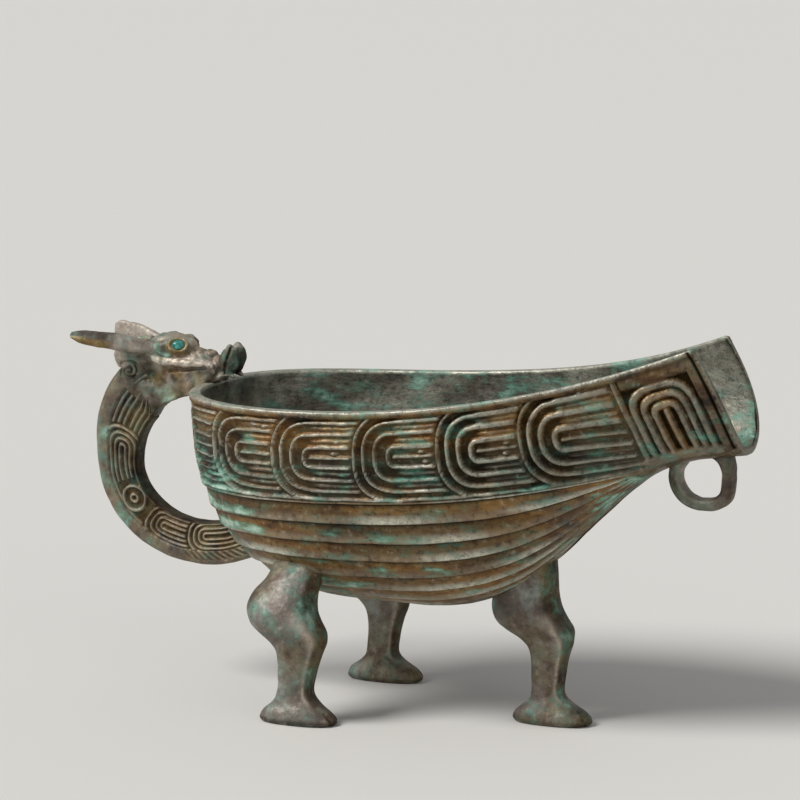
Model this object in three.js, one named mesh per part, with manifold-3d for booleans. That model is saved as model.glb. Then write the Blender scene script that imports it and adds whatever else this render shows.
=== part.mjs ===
// Bronze yi pouring vessel on three legs, with a dragon handle and a loop under the spout.
// Millimetres. +X runs to the spout, +Y to the far side, +Z up, and the soles stand on Z = 0.
import * as THREE from 'three';
import { mergeVertices } from 'three/addons/utils/BufferGeometryUtils.js';
import Module from 'manifold-3d';

const wasm = await Module();
wasm.setup();

// Fit between pieces that touch
const GAP = 0.3;

// Bowl and spout
const BOWL_X = -5.8;
const REAR_REACH = 75.6;
const HALF_WIDTH = 50.5;
const REAR_BLUNTNESS = 2.6;
const LIP_X = 114.1;
const LIP_HALF_WIDTH = 18;
const LIP_TAPER = 1.12;
const RIM_Z = 114.8;
const LIP_Z = 142.1;
const RIM_SWEEP = 2.95;
const LIP_FOOT_X = 129.4;
const LIP_ROUND = 1.6;
const KEEL = [[-5.8, 40.8], [20, 41.2], [36, 45.4], [48, 52.4], [58, 61.1], [73.1, 76.1], [92.2, 92.4],
  [107.6, 99.4], [129.4, 103.4]];
const REAR_SECTION_POWER = 2.6;
const SPOUT_SECTION_POWER = 2.35;
const WALL = 3.6;
const FLOOR = 5.2;
const RIM_STRIP = 2.9;
const RIM_PROUD = 0.5;
const BAND_DEPTH = 32.4;
const BAND_DEPTH_AT_SPOUT = 34.6;
const BAND_LIMIT = 0.93;
const FLUTES = 7;
const FLUTE_WIDTH = 7.9;
const FLUTE_RUN = 0.39;
const FLUTE_DEPTH = 1.45;
const FLUTE_FADE = 3;

// Cast lines of the band: distances along it start at the rear, heights run down from its middle
const RELIEF = 1.25;
const LINE_HALF = 1.05;
const GROUND = -RELIEF - 0.15;
const PLATE_EDGE = GROUND - 0.2;
const PLATE_BACK = GROUND - 0.8;
const BAND_HALF = 14.9;
const FRAME_LINE = 13.7;
const HOOK_STARTS = [34.4, 63.9, 92.6, 125.2, 156.1, 185.7];
const HOOK_MIDDLE = -1.25;
const HOOK_LINES = [3.6, 8.3, 12.4];
const HOOK_BRACKET = 15.8;
const HOOK_SQUARENESS = 2.6;
const HOOK_TONGUE = 1.2;
const REAR_LINES = [4.2, 8.4, 12.4];
const REAR_TOP = -1.5;
const REAR_TONGUE = 2;
const PANEL_FROM = 209.7;
const PANEL_TO = 235.2;
const PANEL_MIDDLE = 222.4;
const PANEL_LINES = [4.2, 7.3, 10.4];
const PANEL_PINCH = 1.1;
const PANEL_TOP = -5.4;
const PANEL_TONGUE = 2.2;
const PANEL_FOOT = 13;
const PANEL_DROP = 7;
const PANEL_DROP_FROM = 227;
const PANEL_DROP_RUN = 14;

// Handle: an upright oval ring whose upper end is the dragon's neck
const RING_X = -83.6;
const RING_Z = 83;
const RING_RX = 34.6;
const RING_RZ_LOW = 28.6;
const RING_RZ_HIGH = 33;
const STRAP_DEPTH = 15.8;
const STRAP_WIDTH = 9.6;
const NECK_ANGLE = 138;
const TAIL_ANGLE = 317;

// Tenons let the added castings into the bowl, square to its skin
const TENON_RADIUS = 3.2;
const TENON_REACH = 2.3;
const TAIL_SEAT = { at: [-64.7, 0, 59.1], inward: [0.732, 0, 0.681] };
const REAR_LEG_SEAT = { at: [-32, 30.5, 52.3], inward: [0.163, -0.659, 0.734] };
const FRONT_LEG_SEAT = { at: [48.6, 0, 52.9], inward: [-0.6, 0, 0.8] };

// Legs: height, back, front, half width and lean to the bowl's middle of each level
const LEG_LEVELS = [
  [0, -13.8, 13.4, 6.6, 0], [1.6, -15, 14.8, 7.4, 0], [4.2, -14, 13.4, 7.2, 0], [7.4, -10.6, 8.8, 6.4, 0],
  [11.4, -8.7, 5.6, 6, 0], [17, -8, 6.4, 6.4, 0], [23, -7.8, 8.2, 7.2, 0], [28, -9.6, 10.6, 8.2, 0],
  [32, -15, 11.2, 9, 0], [36.4, -19, 8.2, 9.6, 0.4], [41, -20.4, 6, 9.8, 1.2], [46, -18.8, 5.2, 9.2, 3.2],
  [52, -14.6, 6, 8.4, 6.6], [59, -13, 7.4, 7.6, 11], [65, -12, 8, 7, 15],
];
const LEG_SIDES = 20;
const REAR_FOOT_X = -27.4;
const REAR_FOOT_Y = 37.3;
const FRONT_FOOT_X = 55.8;
const FRONT_LEG_RAKE = 0.065;

// Loop under the spout
const LOOP_X = 111.8;
const LOOP_Z = 94.4;
const LOOP_RADIUS = 9.9;
const LOOP_STRAP = 4.6;
const LOOP_WIDTH = 6.6;
const LOOP_TENONS = [[[101.7, 0, 92], [102.7, 0, 99.2]], [[120.6, 0, 96], [118.2, 0, 103.4]]];
const LOOP_TENON_RADIUS = 1.4;

// Dragon head
const HEAD_HALF = 5.4;
const HEAD_EDGE = 2;
const EYE = { x: -91.6, y: 7.1, z: 127.8, radius: 2.2 };
const HORN_ROOT = [-101.5, 4.8, 126.6];
const HORN_MID = [-114, 10.4, 129.4];
const HORN_TIP = [-128.4, 17.4, 131];
const HORN_TALL = [1.5, 1.9, 2.4, 2.8, 2.9, 2.5, 1.4];
const HORN_THICK = [1.5, 1.5, 1.5, 1.5, 1.4, 1.2, 0.7];

const bronze = new THREE.MeshStandardMaterial({ color: '#5d4c33', roughness: 0.55, metalness: 0.75 });
const greenBronze = new THREE.MeshStandardMaterial({ color: '#5c6050', roughness: 0.6, metalness: 0.65 });
const turquoise = new THREE.MeshStandardMaterial({ color: '#3fa393', roughness: 0.35, metalness: 0 });

const part = new THREE.Group();
part.name = 'bronze_yi_vessel';

function solidOf(geometry) {
  const bare = geometry.clone();
  bare.deleteAttribute('normal');
  bare.deleteAttribute('uv');
  const merged = mergeVertices(bare, 1e-4);
  const index = merged.index.array;
  const spots = new Float32Array(merged.attributes.position.array);
  const kept = [];
  for (let i = 0; i < index.length; i += 3) {
    const [a, b, c] = [index[i], index[i + 1], index[i + 2]];
    if (a !== b && b !== c && c !== a) kept.push(a, b, c);
  }
  if (signedVolume(spots, kept) < 0) kept.reverse();
  const mesh = new wasm.Mesh({ numProp: 3, vertProperties: spots, triVerts: new Uint32Array(kept) });
  return new wasm.Manifold(mesh);
}

function signedVolume(spots, index) {
  const at = (i) => new THREE.Vector3().fromArray(spots, 3 * i);
  let sum = 0;
  for (let i = 0; i < index.length; i += 3) {
    sum += at(index[i]).dot(at(index[i + 1]).cross(at(index[i + 2])));
  }
  return sum / 6;
}

function solidFrom(points, faces) {
  const geometry = new THREE.BufferGeometry();
  const flat = points.flatMap((p) => [p.x, p.y, p.z]);
  geometry.setAttribute('position', new THREE.Float32BufferAttribute(flat, 3));
  geometry.setIndex(faces.flat());
  return solidOf(geometry);
}

// A solid through closed rings of equal point counts, capped at both ends
function loft(rings) {
  const points = rings.flat();
  const n = rings[0].length;
  const faces = [];
  for (let r = 0; r + 1 < rings.length; r += 1) {
    for (let k = 0; k < n; k += 1) {
      const a = r * n + k;
      const b = r * n + ((k + 1) % n);
      faces.push([a, b, b + n], [a, b + n, a + n]);
    }
  }
  const last = (rings.length - 1) * n;
  for (let k = 1; k + 1 < n; k += 1) {
    faces.push([0, k + 1, k], [last, last + k, last + k + 1]);
  }
  return solidFrom(points, faces);
}

function rod(radius, from, to, sides = 20) {
  const start = new THREE.Vector3(...from);
  const end = new THREE.Vector3(...to);
  const axis = end.clone().sub(start);
  const geometry = new THREE.CylinderGeometry(radius, radius, axis.length(), sides);
  geometry.applyQuaternion(new THREE.Quaternion().setFromUnitVectors(
    new THREE.Vector3(0, 1, 0), axis.clone().normalize()));
  geometry.translate(...start.clone().add(end).multiplyScalar(0.5).toArray());
  return solidOf(geometry);
}

function egg(centre, radii, turn = 0, sides = 18, rows = 12) {
  const geometry = new THREE.SphereGeometry(1, sides, rows);
  geometry.scale(...radii);
  geometry.rotateY(THREE.MathUtils.degToRad(turn));
  geometry.translate(...centre);
  return solidOf(geometry);
}

function addPiece(name, solid, material) {
  const mesh = solid.getMesh();
  const geometry = new THREE.BufferGeometry();
  geometry.setAttribute('position', new THREE.BufferAttribute(new Float32Array(mesh.vertProperties), 3));
  geometry.setIndex(new THREE.BufferAttribute(new Uint32Array(mesh.triVerts), 1));
  geometry.computeVertexNormals();
  const piece = new THREE.Mesh(geometry, material);
  piece.name = name;
  part.add(piece);
}

// Smooth height through a list of points, by cubic steps with even slopes
function heightAt(points, x) {
  const slope = (i) => {
    const a = points[Math.max(i - 1, 0)];
    const b = points[Math.min(i + 1, points.length - 1)];
    return (b[1] - a[1]) / (b[0] - a[0]);
  };
  let i = 0;
  while (i < points.length - 2 && x > points[i + 1][0]) i += 1;
  const [x0, z0] = points[i];
  const [x1, z1] = points[i + 1];
  const span = x1 - x0;
  const t = Math.min(Math.max((x - x0) / span, 0), 1);
  const s = 1 - t;
  return s * s * (1 + 2 * t) * z0 + t * s * s * span * slope(i)
    + t * t * (3 - 2 * t) * z1 - t * t * s * span * slope(i + 1);
}

function rimHeight(x) {
  const along = (x - (BOWL_X - REAR_REACH)) / (LIP_X - BOWL_X + REAR_REACH);
  return RIM_Z + (LIP_Z - RIM_Z) * Math.max(along, 0) ** RIM_SWEEP;
}

// Frame of one rib: turn 0 at the rear, 0.5 abreast of the bowl's middle, 1 at the lip.
// Rear ribs fan out from the bowl's axis; spout ribs stand across it and lean forward to the lip.
function rib(turn, inset, floor) {
  const front = Math.max(2 * turn - 1, 0);
  const keelX = BOWL_X + (LIP_FOOT_X - BOWL_X) * front;
  const keelZ = heightAt(KEEL, keelX) + floor;
  const power = REAR_SECTION_POWER + (SPOUT_SECTION_POWER - REAR_SECTION_POWER) * turn;
  if (turn <= 0.5) {
    const angle = Math.PI * turn;
    const x = -(REAR_REACH - inset) * Math.cos(angle) ** (2 / REAR_BLUNTNESS);
    const y = (HALF_WIDTH - inset) * Math.sin(angle) ** (2 / REAR_BLUNTNESS);
    const z = rimHeight(BOWL_X + x);
    return { x: BOWL_X, z, across: new THREE.Vector2(x, y), drop: z - keelZ, lean: 0, power };
  }
  const x = BOWL_X + (LIP_X - BOWL_X) * front;
  const z = rimHeight(x);
  const flare = Math.max(Math.cos(front * Math.PI / 2), 0) ** LIP_TAPER;
  const y = LIP_HALF_WIDTH + (HALF_WIDTH - LIP_HALF_WIDTH) * flare - inset * (1 + 0.04 * front);
  return { x, z, across: new THREE.Vector2(0, y), drop: z - keelZ, lean: keelX - x, power };
}

// One rib as distances out from the middle and down from the rim
function ribCurve(line) {
  const steps = 96;
  const reach = line.across.length();
  const curve = [];
  let length = 0;
  for (let i = 0; i <= steps; i += 1) {
    const angle = (Math.PI / 2) * (i / steps);
    const r = i === steps ? 0 : reach * Math.cos(angle) ** (2 / line.power);
    const d = line.drop * Math.sin(angle) ** (2 / line.power);
    if (i > 0) length += Math.hypot(r - curve[i - 1].r, d - curve[i - 1].d);
    curve.push({ r, d, length });
  }
  return { line, reach, curve, length };
}

// A point at a distance along a rib, lifted off the skin square to it within the rib's plane
function ribPoint(whole, length, lift, side) {
  const { curve, line, reach } = whole;
  let i = 0;
  while (i < curve.length - 2 && curve[i + 1].length < length) i += 1;
  const a = curve[i];
  const b = curve[i + 1];
  const t = (length - a.length) / (b.length - a.length);
  const step = Math.hypot(b.r - a.r, b.d - a.d);
  const atKeel = length >= whole.length - 1e-6;
  const r = atKeel ? 0 : a.r + (b.r - a.r) * t + lift * (b.d - a.d) / step;
  const d = atKeel ? line.drop + lift : a.d + (b.d - a.d) * t + lift * (a.r - b.r) / step;
  const sunk = Math.min(Math.max(d / line.drop, 0), 1);
  const forward = line.lean * (1 - (1 - sunk) ** LIP_ROUND);
  return new THREE.Vector3(
    line.x + line.across.x * (r / reach) + forward, side * line.across.y * (r / reach), line.z - d);
}

// One rib with the places of its ornament band
function bandRib(turn) {
  const whole = ribCurve(rib(turn, 0, 0));
  const front = Math.max(2 * turn - 1, 0);
  const wanted = BAND_DEPTH + (BAND_DEPTH_AT_SPOUT - BAND_DEPTH) * front;
  const depth = Math.min(wanted, BAND_LIMIT * whole.line.drop);
  const i = whole.curve.findIndex((spot) => spot.d >= depth);
  const [a, b] = [whole.curve[i - 1], whole.curve[i]];
  const end = a.length + (b.length - a.length) * ((depth - a.d) / (b.d - a.d));
  return { ...whole, end, middle: (RIM_STRIP + end) / 2, half: (end - RIM_STRIP) / 2 };
}

// Distances along the middle of the band, by even steps of turn
function bandDistances(steps) {
  const distances = [0];
  let before = null;
  for (let i = 0; i <= steps; i += 1) {
    const whole = bandRib(i / steps);
    const spot = ribPoint(whole, whole.middle, 0, 1);
    if (before) distances.push(distances[i - 1] + spot.distanceTo(before));
    before = spot;
  }
  return distances;
}

const bandDistance = bandDistances(300);

function turnAt(along) {
  const last = bandDistance.length - 1;
  let i = 0;
  while (i < last - 1 && bandDistance[i + 1] < along) i += 1;
  const share = (along - bandDistance[i]) / (bandDistance[i + 1] - bandDistance[i]);
  return Math.min((i + share) / last, 1);
}

function alongAt(turn) {
  const last = bandDistance.length - 1;
  const i = Math.min(Math.floor(turn * last), last - 1);
  return bandDistance[i] + (bandDistance[i + 1] - bandDistance[i]) * (turn * last - i);
}

function panelFoot(along) {
  return PANEL_FOOT + PANEL_DROP * Math.max((along - PANEL_DROP_FROM) / PANEL_DROP_RUN, 0) ** 2;
}

// Outer face of one rib: plain rim strip, sunk band over its frame line, flutes that run out along the keel
function outerRow(turn, offset, side, sunk) {
  const whole = bandRib(turn);
  const along = alongAt(turn);
  const ground = sunk && along < PANEL_TO + 1 ? GROUND : 0;
  const inPanel = along > PANEL_FROM - 2;
  const frame = whole.middle + (inPanel ? panelFoot(along) : FRAME_LINE * (whole.half / BAND_HALF));
  const start = Math.max(whole.end, frame) + 0.45;
  const zone = FLUTE_WIDTH * Math.max(1 - (Math.max(turn - 0.5, 0) / FLUTE_RUN) ** 4, 0);
  const deep = Math.min(FLUTE_DEPTH, 0.2 * zone);
  const row = [];
  const put = (length, lift) => {
    const left = Math.max(whole.length - length, 0);
    const fade = Math.min(left / FLUTE_FADE, 1);
    row.push(ribPoint(whole, whole.length - left, lift * fade + offset, side));
  };
  put(0, RIM_PROUD);
  put(RIM_STRIP - 0.3, RIM_PROUD);
  for (let i = 0; i <= 3; i += 1) put(RIM_STRIP + (frame - LINE_HALF - RIM_STRIP) * (i / 3), ground);
  put(frame, 0);
  put(inPanel ? (frame + start) / 2 : start - 0.45, inPanel ? 0 : ground);
  put(start, 0);
  for (let flute = 0; flute < FLUTES; flute += 1) {
    for (let i = 1; i <= 3; i += 1) {
      put(start + zone * (flute + i / 3), -deep * Math.sin(Math.PI * i / 3));
    }
  }
  const base = start + zone * FLUTES;
  put(base + (whole.length - base) / 2, 0);
  put(whole.length, 0);
  return row;
}

function innerRow(turn, offset, side) {
  const whole = ribCurve(rib(turn, WALL, FLOOR));
  const row = [];
  for (let i = 0; i <= 8; i += 1) {
    row.push(ribPoint(whole, whole.length * (i / 8), -offset, side));
  }
  return row;
}

// Ribs from the near lip corner round the rear to the far lip corner
function ribTurns() {
  const turns = [];
  turns.push(1);
  turns.push(turnAt(PANEL_TO + 1.2));
  for (let i = 1; i < 17; i += 1) turns.push(0.5 + 0.5 * ((17 - i) / 17));
  for (let i = 0; i <= 12; i += 1) turns.push(0.5 * ((12 - i) / 12));
  const near = turns.map((turn) => [turn, -1]);
  const far = turns.slice(0, -1).reverse().map((turn) => [turn, 1]);
  return [...near, ...far];
}

// Share of a line's length at each of its points
function shares(line, points) {
  const lengths = [0];
  for (let i = 1; i < line.length; i += 1) {
    lengths.push(lengths[i - 1] + points[line[i]].distanceTo(points[line[i - 1]]));
  }
  return lengths.map((length) => length / lengths.at(-1));
}

// Triangles between two lines of points that start and end side by side
function strip(a, b, points) {
  const faces = [];
  const alongA = shares(a, points);
  const alongB = shares(b, points);
  let i = 0;
  let j = 0;
  while (i < a.length - 1 || j < b.length - 1) {
    const nextA = i < a.length - 1 ? alongA[i + 1] : 2;
    const nextB = j < b.length - 1 ? alongB[j + 1] : 2;
    if (nextA <= nextB) {
      faces.push([a[i], a[i + 1], b[j]]);
      i += 1;
    } else {
      faces.push([a[i], b[j + 1], b[j]]);
      j += 1;
    }
  }
  return faces;
}

function sheet(rows, points, faces, flip) {
  const base = points.length;
  const n = rows[0].length;
  rows.forEach((row) => points.push(...row));
  const ids = rows.map((row, r) => row.map((_, k) => base + r * n + k));
  for (let r = 0; r + 1 < ids.length; r += 1) {
    for (let k = 0; k + 1 < n; k += 1) {
      const [a, b, c, d] = [ids[r][k], ids[r][k + 1], ids[r + 1][k + 1], ids[r + 1][k]];
      if (flip) faces.push([a, c, b], [a, d, c]);
      else faces.push([a, b, c], [a, c, d]);
    }
  }
  return ids;
}

function bowlShell(offset, sunk) {
  const points = [];
  const faces = [];
  const turns = ribTurns();
  const outer = sheet(turns.map(([turn, side]) => outerRow(turn, offset, side, sunk)), points, faces, false);
  const inner = sheet(turns.map(([turn, side]) => innerRow(turn, offset, side)), points, faces, true);
  const lift = offset > 0 ? offset : 0;
  [...outer, ...inner].forEach((row) => { points[row[0]].z += lift; });
  const last = outer.length - 1;
  const flipped = (list) => list.map(([a, b, c]) => [a, c, b]);
  faces.push(...strip(outer.map((row) => row[0]), inner.map((row) => row[0]), points));
  faces.push(...flipped(strip(outer[0], inner[0], points)));
  faces.push(...strip(outer[last], inner[last], points));
  return solidFrom(points, faces);
}

// The bowl's outside as a filled body, for cutting the seats of the pieces that bear on it
function bowlEnvelope(offset) {
  const points = [];
  const faces = [];
  const rows = ribTurns().map(([turn, side]) => outerRow(turn, offset, side, false));
  const outer = sheet(rows, points, faces, false);
  const last = outer.length - 1;
  for (let i = 0; i < last / 2; i += 1) {
    const [a, b, c, d] = [outer[i][0], outer[i + 1][0], outer[last - i - 1][0], outer[last - i][0]];
    faces.push([a, b, c], [a, c, d]);
  }
  const n = outer[0].length;
  for (let k = 0; k + 1 < n; k += 1) {
    const [a, b, c, d] = [outer[0][k], outer[0][k + 1], outer[last][k + 1], outer[last][k]];
    faces.push([a, c, b], [a, d, c]);
  }
  return solidFrom(points, faces);
}

// Reach and lift of the rows of a nest: a tongue, then a sharp crest on each line and ground between
function nestRows(lines) {
  const rows = [[0, 0]];
  for (const reach of lines) {
    rows.push([rows.at(-1)[0] + LINE_HALF, -RELIEF], [reach - LINE_HALF, -RELIEF], [reach, 0]);
  }
  const edge = rows.at(-1)[0] + LINE_HALF;
  return [...rows, [edge, -RELIEF], [edge + 0.1, PLATE_EDGE]];
}

// One line of a nest as how far out along its arms and how far to the side: arm, closed end, arm
function nestPath(reach, widest, arm, tongue) {
  const path = [];
  for (let i = 0; i <= 2; i += 1) path.push([arm * (1 - i / 2), -Math.min(reach, widest)]);
  for (let i = 1; i < 8; i += 1) {
    const angle = Math.PI * (i / 8 - 0.5);
    const bend = (value) => Math.sign(value) * Math.abs(value) ** (2 / HOOK_SQUARENESS);
    const aside = reach * bend(Math.sin(angle));
    path.push([-Math.max(reach * bend(Math.cos(angle)), tongue), Math.max(-widest, Math.min(aside, widest))]);
  }
  for (let i = 0; i <= 2; i += 1) path.push([arm * (i / 2), Math.min(reach, widest)]);
  return path;
}

// A place on the band: its distance, negative on the near side, its height and its lift off the skin
function bandPoint(along, height, lift) {
  const whole = bandRib(turnAt(Math.abs(along)));
  return ribPoint(whole, whole.middle + height, lift, Math.sign(along) || 1);
}

// A plate with a nest of lines on its face and its back let into the wall
function nestPlate(rows) {
  const points = [];
  const faces = [];
  const face = sheet(rows.map((row) => row.map((spot) => bandPoint(...spot))), points, faces, false);
  const under = rows.map((row) => row.map(([along, height]) => bandPoint(along, height, PLATE_BACK)));
  const back = sheet(under, points, faces, true);
  const wall = (a, b) => {
    for (let k = 0; k + 1 < a.length; k += 1) faces.push([a[k], a[k + 1], b[k + 1]], [a[k], b[k + 1], b[k]]);
  };
  const end = rows[0].length - 1;
  wall(face.at(-1), back.at(-1));
  wall(face.map((row) => row[0]), back.map((row) => row[0]));
  wall(face.map((row) => row[end]).reverse(), back.map((row) => row[end]).reverse());
  return solidFrom(points, faces);
}

// Where a line at this distance from a hook's middle meets the next hook's bracket
function bracketBack(reach) {
  return Math.max(HOOK_BRACKET ** HOOK_SQUARENESS - reach ** HOOK_SQUARENESS, 0) ** (1 / HOOK_SQUARENESS);
}

// Height on the band from a height in a band of even depth
function levelled(along, height) {
  return height * (bandRib(turnAt(Math.abs(along))).half / BAND_HALF);
}

// One hook: nested lines that open to the spout, and a bracket round the closed end only
function hookPlate(start, next, side) {
  const widest = HOOK_LINES.at(-1) + LINE_HALF;
  const rows = nestRows([...HOOK_LINES, HOOK_BRACKET]).map(([reach, lift]) => {
    const stop = next ? next - bracketBack(Math.min(reach, widest)) : PANEL_FROM;
    return nestPath(reach, widest, stop - start, HOOK_TONGUE).map(([out, aside]) => {
      const along = start + out;
      const atEdge = Math.abs(aside) >= widest;
      return [side * along, levelled(along, aside + HOOK_MIDDLE), atEdge ? Math.min(lift, -RELIEF) : lift];
    });
  });
  return nestPlate(rows);
}

// Upright nest between the first hooks of the two sides
function rearPlate() {
  const arm = FRAME_LINE - HOOK_MIDDLE - REAR_TOP;
  const rows = nestRows(REAR_LINES).map(([reach, lift]) => (
    nestPath(reach, Infinity, arm, REAR_TONGUE).map(([out, aside]) => (
      [aside, levelled(aside, REAR_TOP + out + HOOK_MIDDLE), lift]))));
  return nestPlate(rows);
}

// Upright nest of the panel by the lip
function panelPlate(side) {
  const rows = nestRows(PANEL_LINES).map(([reach, lift]) => (
    nestPath(reach, Infinity, PANEL_FOOT - PANEL_TOP, PANEL_TONGUE).map(([out, aside]) => (
      [side * (PANEL_MIDDLE + aside / PANEL_PINCH), PANEL_TOP + out, lift]))));
  return nestPlate(rows);
}

// Upright line at each end of the panel
function panelPost(along, side) {
  const section = [[-LINE_HALF, PLATE_BACK], [0, 0], [LINE_HALF, PLATE_BACK]];
  const top = -bandRib(turnAt(along)).half;
  const rings = [0, 1, 2, 3].map((i) => {
    const height = top + (panelFoot(along) - top) * (i / 3);
    return section.map(([off, lift]) => bandPoint(side * (along + off), height, lift));
  });
  return loft(rings);
}

function bandRelief() {
  const plates = [rearPlate()];
  for (const side of [-1, 1]) {
    plates.push(...HOOK_STARTS.map((start, i) => hookPlate(start, HOOK_STARTS[i + 1], side)));
    plates.push(panelPlate(side), panelPost(PANEL_FROM, side), panelPost(PANEL_TO, side));
  }
  return wasm.Manifold.union(plates);
}

// Handle ring: a rounded strap section carried round the oval
function ringSpot(degrees) {
  const a = THREE.MathUtils.degToRad(degrees);
  const tall = Math.sin(a) > 0 ? RING_RZ_HIGH : RING_RZ_LOW;
  const centre = new THREE.Vector3(RING_X + RING_RX * Math.cos(a), 0, RING_Z + tall * Math.sin(a));
  const out = new THREE.Vector3(Math.cos(a) / RING_RX, 0, Math.sin(a) / tall).normalize();
  return { centre, out };
}

function strapRing(degrees, depth, width, corner) {
  const { centre, out } = ringSpot(degrees);
  const ring = [];
  for (const [sr, sy, start] of [[1, 1, 0], [-1, 1, 90], [-1, -1, 180], [1, -1, 270]]) {
    for (let i = 0; i <= 2; i += 1) {
      const a = THREE.MathUtils.degToRad(start + 45 * i);
      const r = sr * (depth / 2 - corner) + corner * Math.cos(a);
      const y = sy * (width / 2 - corner) + corner * Math.sin(a);
      ring.push(centre.clone().addScaledVector(out, r).add(new THREE.Vector3(0, y, 0)));
    }
  }
  return ring;
}

function strap(from, to, steps, depth, width, corner) {
  const rings = [];
  for (let i = 0; i <= steps; i += 1) {
    rings.push(strapRing(from + (to - from) * (i / steps), depth, width, corner));
  }
  return loft(rings);
}

// Leg: foot, shin, knee and haunch in one lofted body
function legBody(footX, footY, lean, rake) {
  const rings = LEG_LEVELS.map(([z, back, front, half, shift]) => {
    const ring = [];
    for (let k = 0; k < LEG_SIDES; k += 1) {
      const a = (2 * Math.PI * k) / LEG_SIDES;
      const x = (back + front) / 2 + ((front - back) / 2) * Math.cos(a);
      const y = footY + half * Math.sin(a) + shift * lean[1];
      ring.push(new THREE.Vector3(footX + x + shift * lean[0] - rake * z, y, z));
    }
    return ring;
  });
  return loft(rings);
}

// A round tenon that starts inside the added casting and ends inside the bowl's wall
function tenon(seat, side, grow) {
  const at = new THREE.Vector3(...seat.at);
  const way = new THREE.Vector3(...seat.inward).normalize();
  at.y *= side;
  way.y *= side;
  const low = at.clone().addScaledVector(way, -6);
  const high = at.clone().addScaledVector(way, TENON_REACH + grow);
  return rod(TENON_RADIUS + grow, low.toArray(), high.toArray());
}

// Loop under the spout: a flat strap bent round, both ends let into the keel
function loopBody() {
  const rings = [];
  for (let i = 0; i <= 24; i += 1) {
    const a = THREE.MathUtils.degToRad(62 - 258 * (i / 24));
    const out = new THREE.Vector3(Math.cos(a), 0, Math.sin(a));
    const centre = new THREE.Vector3(LOOP_X, 0, LOOP_Z).addScaledVector(out, LOOP_RADIUS);
    const ring = [];
    for (let k = 0; k < 12; k += 1) {
      const t = (2 * Math.PI * k) / 12;
      const across = (LOOP_WIDTH / 2) * Math.sign(Math.sin(t)) * Math.abs(Math.sin(t)) ** 0.6;
      const thick = (LOOP_STRAP / 2) * Math.sign(Math.cos(t)) * Math.abs(Math.cos(t)) ** 0.6;
      ring.push(centre.clone().addScaledVector(out, thick).add(new THREE.Vector3(0, across, 0)));
    }
    rings.push(ring);
  }
  return loft(rings);
}

function loopTenons(grow) {
  const [rear, fore] = LOOP_TENONS.map(([from, [x, y, z]]) => (
    rod(LOOP_TENON_RADIUS + grow, from, [x, y, z + grow], 14)));
  return rear.add(fore);
}

// Head: the side outline from the neck joint over the snout and skull, rounded off at the flanks
function headBlock() {
  const neck = ringSpot(NECK_ANGLE);
  const inner = neck.centre.clone().addScaledVector(neck.out, -STRAP_DEPTH / 2);
  const outer = neck.centre.clone().addScaledVector(neck.out, STRAP_DEPTH / 2);
  const shape = new THREE.Shape();
  shape.moveTo(inner.x + 0.8, inner.z + 0.8);
  shape.quadraticCurveTo(-98.5, 107, -90, 109.2);
  shape.lineTo(-77.4, 111);
  shape.lineTo(-76.8, 116);
  shape.quadraticCurveTo(-76, 120.6, -78.6, 122.6);
  shape.lineTo(-81, 124.6);
  shape.quadraticCurveTo(-86, 127.6, -90, 129);
  shape.quadraticCurveTo(-98, 131.8, -104, 128);
  shape.quadraticCurveTo(-113, 125.6, -114.6, 118.6);
  shape.lineTo(outer.x - 0.4, outer.z);
  const block = new THREE.ExtrudeGeometry(shape, {
    depth: 2 * (HEAD_HALF - HEAD_EDGE), curveSegments: 4, bevelEnabled: true, bevelThickness: HEAD_EDGE,
    bevelSize: 1.2, bevelSegments: 2,
  });
  block.rotateX(Math.PI / 2);
  block.translate(0, HEAD_HALF - HEAD_EDGE, 0);
  return solidOf(block);
}

function eyeRing(side) {
  const ring = new THREE.TorusGeometry(2.7, 1, 8, 18);
  ring.rotateX(Math.PI / 2);
  ring.translate(EYE.x, side * (EYE.y - 0.5), EYE.z);
  return solidOf(ring);
}

function headBody() {
  let head = headBlock();
  head = head.add(egg([-95.6, 0, 125.2], [9.6, 7.6, 6.6], 0, 16, 10));
  head = head.add(egg([-85, 0, 120.6], [8.6, 5.9, 5], 14, 16, 8));
  for (const side of [-1, 1]) {
    head = head.add(eyeRing(side));
    head = head.add(egg([-110, side * 4.8, 117.8], [5, 2.4, 5], 0, 14, 8));
    head = head.add(egg([-100, side * 4.2, 112.2], [8, 2.6, 5], -30, 14, 8));
    head = head.add(egg([-73.2, side * 4, 124], [4.5, 3.3, 5.2], 20, 14, 8));
  }
  return head.add(rod(3.4, [-81, 0, 123.2], [-73.4, 0, 124], 14));
}

// Horn: an upright paddle that widens to a blunt tip, with a round tenon into the skull
function hornBody(side, grow) {
  const curve = new THREE.QuadraticBezierCurve3(
    ...[HORN_ROOT, HORN_MID, HORN_TIP].map(([x, y, z]) => new THREE.Vector3(x, side * y, z)));
  const steps = HORN_TALL.length - 1;
  const rings = HORN_TALL.map((tall, i) => {
    const at = curve.getPoint(i / steps);
    const along = curve.getTangent(i / steps);
    const flat = new THREE.Vector3(along.y, -along.x, 0).normalize();
    const up = new THREE.Vector3().crossVectors(along, flat).normalize();
    const ring = [];
    for (let k = 0; k < 14; k += 1) {
      const a = (2 * Math.PI * k) / 14;
      const spot = at.clone().addScaledVector(flat, (HORN_THICK[i] + grow) * Math.cos(a));
      ring.push(spot.addScaledVector(up, (tall + grow) * Math.sin(a)));
    }
    return ring;
  });
  return loft(rings);
}

function hornTenon(side, grow) {
  const from = [HORN_ROOT[0] - 3.5, side * (HORN_ROOT[1] + 1.5), HORN_ROOT[2] + 0.7];
  const to = [HORN_ROOT[0] + 4 + grow, side * (HORN_ROOT[1] - 1.8), HORN_ROOT[2] - 0.9];
  return rod(1.2 + grow, from, to, 12);
}

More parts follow.
